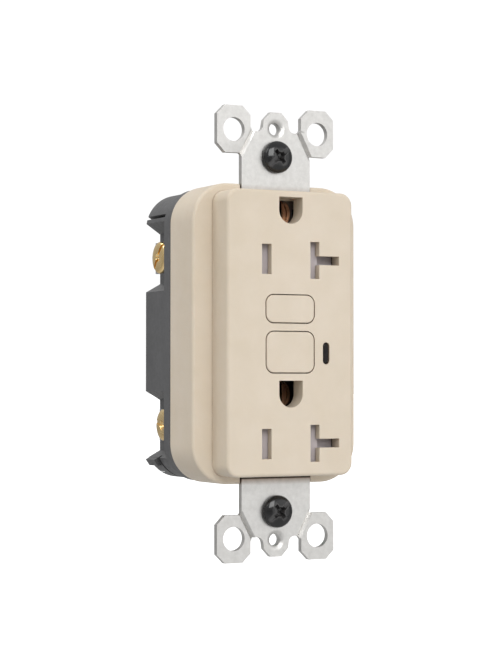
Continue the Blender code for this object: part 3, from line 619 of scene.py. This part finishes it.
def green_board(name):
    """Solder mask with the tracks showing through as paler lines."""
    look = moulded(name, linear(36, 110, 60), linear(26, 88, 46), rough=(0.25, 0.4), grain=0.006)
    tracks = look.cells(330.0, feature="DISTANCE_TO_EDGE")
    mask = look.spread(tracks, 1.0, 0.0, 0.02, 0.05)
    pale = look.ramp(look.noise(200.0), ((0.3, linear(60, 140, 80)), (0.7, linear(74, 152, 92))))
    under = look.ramp(look.noise(200.0), ((0.3, linear(28, 92, 48)), (0.7, linear(38, 112, 62))))
    look.colour(look.overlay(under, pale, mask))
    look.bump(mask, 0.02)
    return look


def enamelled_wire(name):
    """Close turns of varnished copper wire, wound about Z."""
    look = metal(name, (0.66, 0.27, 0.10, 1.0), (0.40, 0.14, 0.05, 1.0), rough=(0.16, 0.3))
    turns = look.bands(1100.0, "Z", 0.6)
    look.bump(turns, 0.06)
    look.set(Coat_Weight=0.6, Coat_Roughness=0.1)
    return look


def taped_ring(name):
    """A ring core wrapped in overlapping tape."""
    look = moulded(name, linear(196, 160, 70), linear(170, 134, 52), rough=(0.3, 0.45), grain=0.006)
    look.bump(look.bands(330.0, "DIAGONAL", 1.5), 0.05)
    return look


def banded_resistor(name):
    look = moulded(name, linear(206, 180, 142), linear(190, 160, 122), rough=(0.3, 0.4), grain=0.006)
    wave = look.bands(520.0, "X")
    body = look.ramp(look.noise(300.0), ((0.3, linear(190, 160, 122)), (0.7, linear(206, 180, 142))))
    stripe = look.ramp(look.noise(300.0), ((0.3, linear(120, 40, 30)), (0.7, linear(150, 60, 40))))
    look.colour(look.overlay(body, stripe, look.spread(wave, 0.0, 1.0, 0.78, 0.82)))
    return look


def tinted_lamp(name):
    look = moulded(name, linear(120, 205, 130), linear(98, 186, 110), rough=(0.08, 0.16), grain=0.003)
    look.set(Transmission_Weight=0.6, IOR=1.5)
    return look


def fibre(name):
    look = moulded(name, linear(150, 144, 134), linear(122, 116, 106), rough=(0.7, 0.9), grain=0.03)
    look.bump(look.noise(700.0, 5.0, 0.7, stretch=(3.0, 1.0, 1.0)), 0.04)
    return look


LOOKS = {
    "almond_cover": almond,
    "almond_test_button": almond,
    "almond_reset_button": almond,
    "smoked_lens": smoked_lens,
    "galvanised_strap": galvanised,
    "black_oxide": black_oxide,
    "grey_fibre": fibre,
    "dark_grey_plastic": dark_moulding,
    "dark_grey_inner": dark_moulding,
    "brass": brass,
    "nickel": nickel,
    "green_plated": green_plated,
    "phosphor_bronze": phosphor_bronze,
    "grey_shutter": plain_moulding((206, 198, 200), (190, 181, 184), rough=(0.35, 0.5)),
    # painted light: the shutter guide, black in the real outlet, is given a mid warm grey so the ground hole
    # behind it looks less dark
    "black_guide": plain_moulding((120, 108, 100), (104, 93, 86), rough=(0.4, 0.55)),
    "green_board": green_board,
    "nylon_bobbin": plain_moulding((222, 216, 204), (206, 200, 188), rough=(0.35, 0.5)),
    "enamelled_wire": enamelled_wire,
    "toroid_tape": taped_ring,
    "spring_steel": spring_steel,
    "varistor_coat": plain_moulding((70, 96, 150), (54, 78, 130), rough=(0.3, 0.45)),
    "capacitor_case": plain_moulding((176, 96, 44), (156, 80, 34), rough=(0.25, 0.4)),
    "chip_body": plain_moulding((40, 40, 42), (30, 30, 32), rough=(0.45, 0.6)),
    "resistor_body": banded_resistor,
    "green_led": tinted_lamp,
    "white_acetal": plain_moulding((226, 226, 222), (212, 212, 208), rough=(0.3, 0.45)),
}
FINISHED = {}


def finish(slot):
    """The material of one of the record's slots, made the first time it is asked for."""
    if slot not in FINISHED:
        FINISHED[slot] = LOOKS[slot](slot).material
    return FINISHED[slot]


# ---------------------------------------------------------------- front cover

def t_slot_outline(z):
    """A tall slot for the upright blade and a leg to the right for the sideways one."""
    half_slot, reach = 1.2, 6.5
    tall, leg = 4.33, 1.05
    left, right, far = BLADE_X - half_slot, BLADE_X + half_slot, BLADE_X + reach
    return [
        (left, z - tall), (right, z - tall), (right, z - leg), (far, z - leg),
        (far, z + leg), (right, z + leg), (right, z + tall), (left, z + tall),
    ]


def ground_outline(z, margin=0.0):
    """A round hole with a flat top."""
    radius, top = GROUND_HOLE_R + margin, z + 3.15 + margin
    return arc((0, z), radius, 180, 360, 32) + [(radius, top), (-radius, top)]


def button_opening(node, margin):
    """The outline of a button's opening: the button's cap with a margin round it."""
    lip_x, lip_z = 0.7, 0.55
    low_x, high_x = extent(node, "X")
    low_z, high_z = extent(node, "Z")
    half_w = (high_x - low_x) / 2 - lip_x + margin
    half_h = (high_z - low_z) / 2 - lip_z + margin
    return rounded(half_w, half_h, BUTTON_CORNER + margin, centre(node, "X"), centre(node, "Z"), 10)


def face_holes(through):
    """Everything that goes through the face: the blade slots, ground holes, buttons and the lamp's window."""
    half_slot, half_height = 1.25, 3.5
    holes = []
    for z in (UPPER_Z, LOWER_Z):
        slot_x = (-BLADE_X - half_slot, -BLADE_X + half_slot)
        holes.append(block(slot_x, through, (z - half_height, z + half_height)))
        holes.append(prism(t_slot_outline(z), through))
        holes.append(prism(ground_outline(z + GROUND_RISE), through))
    for node in ("test_button", "reset_button"):
        holes.append(prism(button_opening(node, BUTTON_PLAY), through))
    lamp_x, lamp_z = centre("indicator_lens", "X"), centre("indicator_lens", "Z")
    holes.append(prism(rounded(0.88, 2.58, 0.86, lamp_x, lamp_z, 10), through))
    return merged(holes)


def front_cover():
    """The flange with its skirt, the raised face, and the room inside for the shutters and the housing."""
    face_corner, pocket_half_w, pocket_half_h, pocket_corner = 3.0, 14.9, 31.4, 1.6
    post_radius, bore_radius, collar_wall = 2.6, 1.5, 0.6
    outline = rounded(COVER_HALF_W, COVER_HALF_H, COVER_CORNER, steps=20)
    cover = Piece("cover_moulding", prism(outline, (FLANGE_FRONT, SEAM + 3)))
    cover.round_edges(0.7, 4)
    face = prism(rounded(FACE_HALF_W, FACE_HALF_H, face_corner, steps=12), (FACE_FRONT, FLANGE_FRONT + 1.2))
    cover.join(face, edge=0.8)
    cover.cut(block((-WIDE, WIDE), (SEAM, SEAM + 5), (-TALL, TALL)))
    inner_w, inner_h = COVER_HALF_W - COVER_WALL, COVER_HALF_H - COVER_WALL
    cover.cut(
        prism(rounded(inner_w, inner_h, COVER_CORNER - COVER_WALL), (0.6, SEAM + 1)),
        prism(rounded(pocket_half_w, pocket_half_h, pocket_corner, steps=4), (FACE_BACK, 1.0)),
    )
    corners = [(side * x, z) for x, z in HOUSING_SCREWS for side in (-1, 1)]
    cover.join(merged([rod("Y", at, post_radius, (0.3, 7.3), segments=24) for at in corners]))
    cover.cut(merged([rod("Y", at, bore_radius, (1.6, 8.0), segments=24) for at in corners]))
    inside = FACE_BACK - 0.4
    for z in (UPPER_Z, LOWER_Z):
        cover.join(prism(ground_outline(z + GROUND_RISE, collar_wall), (inside, FACE_BACK + 2.6)))
        cover.join(block((12.95, 15.2), (inside, FACE_BACK + 1.65), (z - 1.9, z + 1.9)))
    cover.cut(face_holes((FACE_FRONT - 2, FACE_BACK + 4.0)))
    reliefs = [block((14.8, 16.3), (-5.02, -3.9), (z - 1.6, z + 1.6)) for z in (UPPER_Z, LOWER_Z)]
    cover.cut(merged(reliefs))
    gap = NECK_HALF + 0.3
    for end in (-1, 1):
        notch = sorted((end * 31.2, end * 37))
        cover.cut(block((-gap, gap), (STRAP_FRONT - 0.45, SEAM + 2), notch))
    cover.round_edges(0.2, 3, 60)
    cover.bake("front_cover")


# ---------------------------------------------------------------- rear body

def side_features(shell):
    """On each side, two terminal pockets, a slit over the upper one, and a fin and groove under the lower."""
    upper = [(-POCKET_X, 24.7), (-26.0, 30.6), (-26.0, 7.7), (-POCKET_X, 12.6)]
    lower = [(-POCKET_X, -15.7), (-26.0, -10.6), (-26.0, -32.6), (-POCKET_X, -27.9)]
    corner, outer_radius, inner_radius = (12.35, 25.8), 13.0, 7.6
    groove_arc = arc(corner, outer_radius, 22, 80, 12) + arc(corner, inner_radius, 80, 22, 12)
    fin = [(-17.6, -28.1), (-21.1, -30.05), (-20.1, -31.5), (-17.6, -31.0)]
    slit = [(-17.78, 26.17), (-25.5, 31.35), (-25.05, 32.01), (-17.33, 26.83)]
    for side in (1, -1):
        for pocket in (upper, lower):
            shell.cut(prism(mirrored(pocket, x=side), (POCKET_FRONT, REAR_BACK + 1)))
        shell.join(prism(mirrored(fin, x=side), (21.4, REAR_BACK - 0.2)))
        shell.cut(
            prism(mirrored(groove_arc, x=side, z=-1), (20.3, 21.1)),
            prism(mirrored(slit, x=side), (16.2, REAR_BACK + 1)),
        )


def screw_holes():
    """Bores for the terminal, ground and housing screws."""
    terminal_bore, housing_bore = 2.4, 1.6
    screw_y = centre("load_hot_screw", "Y")
    ground_x, ground_y = centre("ground_screw", "X"), centre("ground_screw", "Y")
    bores = [rod("Z", (ground_x, ground_y), terminal_bore, (-34, -30), segments=32)]
    for side in (-1, 1):
        wall = sorted((side * 15, side * 18))
        for node in ("load_hot_screw", "line_hot_screw"):
            bores.append(rod("X", (screw_y, centre(node, "Z")), terminal_bore, wall, segments=32))
        for x, z in HOUSING_SCREWS:
            bores.append(rod("Y", (side * x, z), housing_bore, (REAR_FRONT - 2, REAR_BACK + 2), segments=24))
    return merged(bores)


def rear_body():
    """A hollow box behind a slightly wider band at the seam, with its pockets, wells and bores."""
    band_back, step, well_radius, back_wall = 15.0, 0.45, 2.5, 1.5
    outline = rounded(REAR_HALF_W, REAR_HALF_H, REAR_CORNER, steps=20)
    shell = Piece("rear_moulding", prism(outline, (REAR_FRONT - 2, REAR_BACK)))
    shell.round_edges(0.8, 4)
    shell.cut(block((-WIDE, WIDE), (REAR_FRONT - 4, REAR_FRONT), (-TALL, TALL)))
    inset = rounded(REAR_HALF_W - step, REAR_HALF_H - step, 8.7, steps=20)
    ring = Piece("ring", prism(rounded(26, 40, 2, steps=2), (band_back, REAR_BACK + 1)))
    ring.cut(prism(inset, (band_back - 1, REAR_BACK + 2)))
    shell.cut(ring.mesh())
    side_features(shell)
    cavity = (REAR_FRONT - 1, REAR_BACK - back_wall)
    shell.cut(
        block((-15.7, 15.7), cavity, (-28.3, 26.8)),
        block((-12.2, 12.2), cavity, (-31.5, 31.5)),
        block((-19.6, 19.6), (REAR_FRONT - 1.2, REAR_BACK - back_wall), (-11.2, 8.4)),
        block((2.0, 12.0), (POCKET_FRONT, REAR_BACK + 1.5), (-37, -32.9)),
    )
    wells = [
        rod("Y", (side * x, z), well_radius, (REAR_BACK - 2.5, REAR_BACK + 3), segments=32)
        for x, z in HOUSING_SCREWS for side in (-1, 1)
    ]
    shell.cut(screw_holes(), merged(wells))
    shell.round_edges(0.2, 2, 60)
    shell.bake("rear_body")


# ---------------------------------------------------------------- strap

def strap_outline():
    """One quarter of the strap, from the web outwards, then the rest by mirroring."""
    ear_in, ear_low, chamfer, plate_end = 6.75, 42.3, 2.1, 47.6
    quarter = [(WEB_HALF, NECK_START - 0.9), (NECK_HALF, NECK_START)]
    quarter += arc((NECK_HALF + 0.5, ear_low - 0.5), 0.5, 180, 90, 4)
    quarter += [(EAR_OUT - chamfer, ear_low - 0.05), (EAR_OUT, ear_low + chamfer)]
    quarter += [(EAR_OUT, EAR_HIGH - chamfer), (EAR_OUT - chamfer, EAR_HIGH), (ear_in + chamfer, EAR_HIGH)]
    quarter += [(ear_in, EAR_HIGH - chamfer), (ear_in, plate_end + 0.9), (ear_in - 0.7, plate_end + 0.05)]
    quarter += arc((4.9, plate_end + 1.5), 1.5, 270, 190, 8)
    quarter += [(3.2, PLATE_SCREW_Z + 2.0), (1.4, PLATE_SCREW_Z + 3.9)]
    right = [(x, -z) for x, z in quarter[::-1]] + quarter
    return right + [(-x, z) for x, z in right[::-1]]


def snap_groove(side, end):
    """The V groove across an ear's root, along which the ear snaps off."""
    half, beyond = 0.45, 0.6
    start = Vector((side * NECK_HALF, 0, end * 42.2))
    run = Vector((side * 6.0, 0, end * 48.0)) - start
    mesh = block((-half, half), (-half, half), (-beyond, run.length + beyond))
    mesh.transform(Matrix.Rotation(math.radians(45), 4, "Z"))
    mesh.transform(Matrix.Rotation(math.atan2(run.x, run.z), 4, "Y"))
    mesh.transform(Matrix.Translation((start + Vector((0, STRAP_FRONT, 0))) * MM))
    return mesh


def mounting_strap():
    """The stamping with its collars, slots, ear holes and grooves, and openings for the buttons and pins."""
    ear_x, ear_z, ear_hole, tapped_hole = 11.1, 47.75, 2.8, 1.45
    strap = Piece("strap_stamping", prism(strap_outline(), (STRAP_FRONT, 0)))
    through = (STRAP_FRONT - 1, 2.5)
    collars, holes, dents = [], [], []
    for end in (-1, 1):
        hole = end * PLATE_SCREW_Z
        collars.append(rod("Y", (0, hole), 2.3, (-0.5, 1.1), tip_radius=2.0))
        holes.append(prism(rounded(2.9, 2.0, 1.95, 0, end * BOX_SCREW_Z, 12), through))
        holes.append(rod("Y", (0, hole), tapped_hole, through))
        dents.append(rod("Y", (0, hole), 2.7, (STRAP_FRONT - 0.1, STRAP_FRONT + 1.2), tip_radius=0.9))
        for side in (-1, 1):
            holes.append(rod("Y", (side * ear_x, end * ear_z), ear_hole, through))
            dents.append(snap_groove(side, end))
    for z in (UPPER_Z, LOWER_Z):
        holes.append(rod("Y", (0, z + GROUND_RISE), GROUND_HOLE_R + 0.6, through))
    test_z = centre("test_button", "Z")
    holes.append(rod("Y", (PIN_X, centre("reset_button", "Z")), 1.6, through))
    holes.append(block((-2.1, 1.7), through, (test_z - 1.4, test_z + 1.4)))
    strap.join(merged(collars))
    strap.cut(merged(holes), merged(dents))
    strap.round_edges(0.12, 2, 60)
    strap.bake("mounting_strap")


# ---------------------------------------------------------------- screws

def cross_bit(depth, top, reach, slot_width, slot_reach, half_wing=0.5):
    """The shape of a cross-point driver's tip, as tools to cut with, and of a flat blade through it."""
    tip_reach, tip_wing = 0.45, 0.55     # what is left of a wing's reach and thickness at its tip
    wings = []
    for turn in (0, 90):
        wing = block((-reach, reach), (-half_wing, half_wing), (top - depth, top + 1.5))
        for corner in wing.vertices:
            if corner.co.z < (top - depth / 2) * MM:
                corner.co.x *= tip_reach
                corner.co.y *= tip_wing
        wing.transform(Matrix.Rotation(math.radians(turn), 4, "Z"))
        wings.append(wing)
    wings.append(rod("Z", (0, 0), 0.4, (top - depth - 0.2, top + 0.8), tip_radius=1.45, segments=32))
    if slot_width:
        half = slot_width / 2
        wings.append(block((-slot_reach, slot_reach), (-half, half), (top - 0.6, top + 1.5)))
    return wings


def mounting_screw(node):
    """A black screw with a domed head over a rim, a cross recess and a #6-32 thread."""
    dome_radius, dome_rise, rim = 3.72, 1.25, 0.75
    washer_gap = 0.3
    seat = (0, STRAP_FRONT - washer_gap, centre(node, "Z"))
    dome = []
    for degrees in range(0, 91, 9):
        angle = math.radians(degrees)
        dome.append((dome_radius * math.sin(angle), rim + dome_rise * math.cos(angle)))
    head = dome + [(3.8, 0.55), (3.8, 0.1), (3.7, 0.0)]
    shank = [(1.45, 0.0), (1.45, -14.2), (1.05, -15.0), (0, -15.0)]
    place = Matrix.Translation(Vector(seat) * MM) @ AXIS_TURN["-Y"]
    screw = Piece(node + "_detail", turned(head + shank), place)
    tilt = Matrix.Rotation(math.radians(38), 4, "Z")
    for wing in cross_bit(1.7, 2.0, 2.6, 0.75, 3.1, 0.65):
        wing.transform(tilt)
        screw.cut(wing, local=True)
    screw.round_edges(0.07, 2, 50)
    made = screw.bake(node)
    thread(node, made, 1.42, 1.7, 0.794, -0.9, -14.4)


def terminal_screw(node, axis, turn):
    """A binding screw with a combined slot and cross, and a #8-32 thread."""
    head_height = 1.1
    low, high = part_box(node)
    seat = (low + high) / 2
    k = "XYZ".index(axis[1])
    seat[k] = low[k] + head_height * MM if axis[0] == "-" else high[k] - head_height * MM
    place = Matrix.Translation(seat) @ AXIS_TURN[axis] @ Matrix.Rotation(turn, 4, "Z")
    head = [(0, 1.1), (2.4, 1.07), (3.2, 0.95), (3.65, 0.72), (3.83, 0.42), (3.85, 0.2), (3.78, 0.0)]
    shank = [(1.7, 0.0), (1.7, -5.2), (1.2, -5.8), (0, -5.8)]
    screw = Piece(node + "_detail", turned(head + shank), place)
    for wing in cross_bit(0.95, head_height, 1.75, 0.85, 4.4):
        screw.cut(wing, local=True)
    screw.round_edges(0.06, 2, 50)
    made = screw.bake(node)
    thread(node, made, 1.66, 1.95, 0.794, -0.5, -5.4)


def clamp_plate(node, axis):
    """A square pressure plate with grip ridges on its wire side."""
    hole, half_groove, groove_depth = 2.25, 0.2, 0.15
    low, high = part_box(node)
    limits = [(low[k] / MM, high[k] / MM) for k in range(3)]
    plate = Piece(node + "_detail", block(*limits))
    k = "XYZ".index(axis[1])
    at = [(a + b) / 2 for a, b in limits]
    across = [at[j] for j in range(3) if j != k]
    plate.cut(rod(axis[1], across, hole, (limits[k][0] - 1, limits[k][1] + 1)))
    wire_face = limits[k][1] if axis[0] == "-" else limits[k][0]
    along = "XYZ".index("Y")
    grooves = []
    for offset in (-3.0, -2.0, -1.0, 1.0, 2.0, 3.0):
        spans = [(a - 1, b + 1) for a, b in limits]
        spans[k] = (wire_face - groove_depth, wire_face + groove_depth)
        spans[along] = (at[along] + offset - half_groove, at[along] + offset + half_groove)
        grooves.append(block(*spans))
    plate.cut(merged(grooves))
    plate.round_edges(0.12, 2, 50)
    plate.bake(node)


def housing_screw(node):
    """A small pan head screw with a cross recess and a coarse thread for plastic."""
    head_height = 1.5
    x, z = centre(node, "X"), centre(node, "Z")
    back = extent(node, "Y")[1]
    place = Matrix.Translation(Vector((x, back - head_height, z)) * MM) @ AXIS_TURN["+Y"]
    head = [(0, 1.5), (1.0, 1.46), (1.6, 1.3), (2.0, 1.0), (2.17, 0.6), (2.2, 0.2), (2.1, 0.0)]
    shank = [(1.1, 0.0), (1.1, -21.4), (0.5, -22.2), (0, -22.2)]
    screw = Piece(node + "_detail", turned(head + shank, 40), place)
    for wing in cross_bit(0.9, head_height, 1.3, 0, 0):
        screw.cut(wing, local=True)
    screw.round_edges(0.05, 2, 50)
    made = screw.bake(node)
    thread(node, made, 1.08, 1.25, 1.0, -8.0, -21.4)


# ---------------------------------------------------------------- buttons and lens

def button(node):
    """A cap with softened edges, and the lip that holds it behind the face."""
    front, back = extent(node, "Y")
    lip_back = back if node == "reset_button" else FACE_BACK + 1.4
    lip_front = lip_back - 1.1
    cap = Piece(node + "_cap", prism(button_opening(node, 0.0), (front, lip_front + 0.9)))
    cap.round_edges(0.32, 5)
    low_x, high_x = extent(node, "X")
    low_z, high_z = extent(node, "Z")
    x, z = centre(node, "X"), centre(node, "Z")
    lip = rounded((high_x - low_x) / 2, (high_z - low_z) / 2, BUTTON_CORNER, x, z, 6)
    cap.join(prism(lip, (lip_front, lip_back)))
    if node == "test_button":
        cap.join(block((PIN_X - 1.5, PIN_X + 1.5), (lip_back - 0.6, back), (z - 1.0, z + 1.0)))
    else:
        cap.cut(rod("Y", (PIN_X, z), 1.5, (-6.6, -4.0), segments=32))
    cap.bake(node)


def indicator_lens():
    """A domed window on a flange behind the face, and the light guide that leads back to the lamp."""
    guide = 0.75
    x, z = centre("indicator_lens", "X"), centre("indicator_lens", "Z")
    front, back = extent("indicator_lens", "Y")
    lens = Piece("indicator_lens_detail", prism(rounded(0.7, 2.4, 0.69, x, z, 12), (front, -5.8)))
    lens.round_edges(0.55, 6)
    lens.join(
        prism(rounded(1.35, 3.05, 0.9, x, z, 4), (FACE_BACK + 0.3, -5.6)),
        block((x - guide, x + guide), (-6.0, back), (z - guide, z + guide)),
    )
    lens.bake("indicator_lens")


def shutter_tongue(node, z):
    """A shutter's thin end, which closes the far end of the T slot's leg."""
    half = 1.4
    tongue = block((11.3, 13.0), (-5.0, -4.2), (z - half, z + half))
    made = bpy.data.objects.new(node + "_tongue", tongue)
    bpy.context.scene.collection.objects.link(made)
    soft = made.modifiers.new("soft_edges", "BEVEL")
    soft.width = 0.15 * MM
    soft.segments = 2
    made.data.materials.append(finish(SLOT_OF[node]))
    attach(made, BODY_OF[node])


def squeezed_spring(node, axis, seat):
    """The coil spring gets its own copy of its mesh, which does not close up as its joint moves. seat is the
    end that stays: 0 the lower, 1 the higher.
    """
    limits = extent(node, axis)
    k = "XYZ".index(axis)
    anchor = [(a + b) / 2 for a, b in zip(*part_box(node))]
    anchor[k] = limits[seat] * MM
    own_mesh(bpy.data.objects[node])


# ---------------------------------------------------------------- stage, light and camera

def studio():
    """A plain pale floor, a white surround, and soft light from the front, the upper left and behind."""
    floor_half, floor_drop, surround = 40.0, 0.25, 1.05
    floor_mesh = bpy.data.meshes.new("floor")
    shape = bmesh.new()
    bmesh.ops.create_grid(shape, x_segments=1, y_segments=1, size=floor_half)
    shape.to_mesh(floor_mesh)
    shape.free()
    floor = bpy.data.objects.new("studio_floor", floor_mesh)
    floor.location = (0, 0, CAD_BOX[0][2] - floor_drop)
    bpy.context.scene.collection.objects.link(floor)
    pale = Look("studio_white")
    dark, light = (0.56, 0.56, 0.56, 1), (0.60, 0.60, 0.60, 1)
    pale.colour(pale.ramp(pale.noise(2.0), ((0.3, dark), (0.7, light))))
    pale.set(Roughness=0.9, Emission_Color=(1, 1, 1, 1))
    seen = pale.nodes.new("ShaderNodeLightPath").outputs["Is Camera Ray"]
    pale.links.new(seen, pale.shader.inputs["Emission Strength"])
    floor_mesh.materials.append(pale.material)

    world = bpy.data.worlds.new("studio")
    world.use_nodes = True
    nodes, links = world.node_tree.nodes, world.node_tree.links
    height = nodes.new("ShaderNodeSeparateXYZ")
    links.new(nodes.new("ShaderNodeTexCoord").outputs["Generated"], height.inputs["Vector"])
    level = nodes.new("ShaderNodeMapRange")
    for socket, value in (("From Min", -0.5), ("From Max", 0.6), ("To Min", 0.22), ("To Max", 0.62)):
        level.inputs[socket].default_value = value
    links.new(height.outputs["Z"], level.inputs["Value"])
    soft = nodes["Background"]
    soft.inputs["Color"].default_value = (1, 1, 1, 1)
    links.new(level.outputs["Result"], soft.inputs["Strength"])
    white = nodes.new("ShaderNodeBackground")
    white.inputs["Color"].default_value = (1, 1, 1, 1)
    white.inputs["Strength"].default_value = surround
    mix = nodes.new("ShaderNodeMixShader")
    links.new(nodes.new("ShaderNodeLightPath").outputs["Is Camera Ray"], mix.inputs["Fac"])
    links.new(soft.outputs[0], mix.inputs[1])
    links.new(white.outputs[0], mix.inputs[2])
    links.new(mix.outputs[0], nodes["World Output"].inputs["Surface"])
    bpy.context.scene.world = world

    softbox("key_light", (-0.12, -0.95, 0.42), 0.5, 3.7)
    softbox("strap_panel", (0.60, -0.95, 0.02), 1.3, 3.6)
    softbox("upper_left", (-0.62, -0.42, 0.60), 0.4, 1.1)
    softbox("rim_light", (-0.5, 0.35, 0.8), 0.4, 3.0)


def softbox(name, place, size, watts):
    """A square area light, all in metres, that faces the origin."""
    light = bpy.data.lights.new(name, "AREA")
    light.shape = "SQUARE"
    light.size = size
    light.energy = watts
    made = bpy.data.objects.new(name, light)
    made.location = place
    made.rotation_euler = (-Vector(place)).to_track_quat("-Z", "Y").to_euler()
    bpy.context.scene.collection.objects.link(made)


def camera():
    """A long lens, round to the object's left and very slightly below it."""
    azimuth, elevation = math.radians(-27.27), math.radians(-1.42)
    distance, shift_right, shift_up = 458.1, -6.14, 0.11
    back = Vector((
        math.sin(azimuth) * math.cos(elevation), -math.cos(azimuth) * math.cos(elevation), math.sin(elevation)
    ))
    right = (-back).cross(Vector((0, 0, 1))).normalized()
    up = right.cross(-back)
    target = right * shift_right + up * shift_up + Vector((0, STRAP_FRONT, 0))
    lens = bpy.data.cameras.new("camera")
    lens.lens = 105
    lens.sensor_width = 36
    lens.sensor_fit = "AUTO"
    made = bpy.data.objects.new("camera", lens)
    turn = Matrix((right, up, back)).transposed().to_4x4()
    made.matrix_world = Matrix.Translation((target + back * distance) * MM) @ turn
    bpy.context.scene.collection.objects.link(made)
    bpy.context.scene.camera = made


# ---------------------------------------------------------------- the whole outlet

for cad_node, solid in frame["nodes"].items():
    solid.data.materials.clear()
    solid.data.materials.append(finish(SLOT_OF[cad_node]))

front_cover()
rear_body()
mounting_strap()
for ending in ("upper", "lower"):
    mounting_screw(f"mounting_screw_{ending}")
# each terminal, the side its screw's head faces and how far the head's slot is turned, in radians
TERMINALS = (
    ("load_hot", "-X", 2.5), ("line_hot", "-X", 1.35), ("load_neutral", "+X", 2.5),
    ("line_neutral", "+X", 1.35), ("ground", "-Z", 0.4),
)
for terminal, outward, spin in TERMINALS:
    terminal_screw(f"{terminal}_screw", outward, spin)
    clamp_plate(f"{terminal}_clamp", outward)
for cad_node in sorted(frame["nodes"]):
    if cad_node.startswith("housing_screw"):
        housing_screw(cad_node)
button("test_button")
button("reset_button")
indicator_lens()
shutter_tongue("shutter_upper", UPPER_Z)
shutter_tongue("shutter_lower", LOWER_Z)
# each spring, its joint, the axis it closes along, the end that stays and its joint's travel
SPRINGS = (
    ("plunger_spring", "plunger_pull", "Z", 0, 1.5), ("reset_spring", "reset_press", "Y", 1, 1.2),
    ("shutter_spring_upper", "shutter_upper_open", "X", 1, 3.2),
    ("shutter_spring_lower", "shutter_lower_open", "X", 1, 3.2),
)
for spring, joint, along, seat, stroke in SPRINGS:
    squeezed_spring(spring, along, seat)
studio()
camera()
bpy.context.scene.view_settings.view_transform = "Standard"
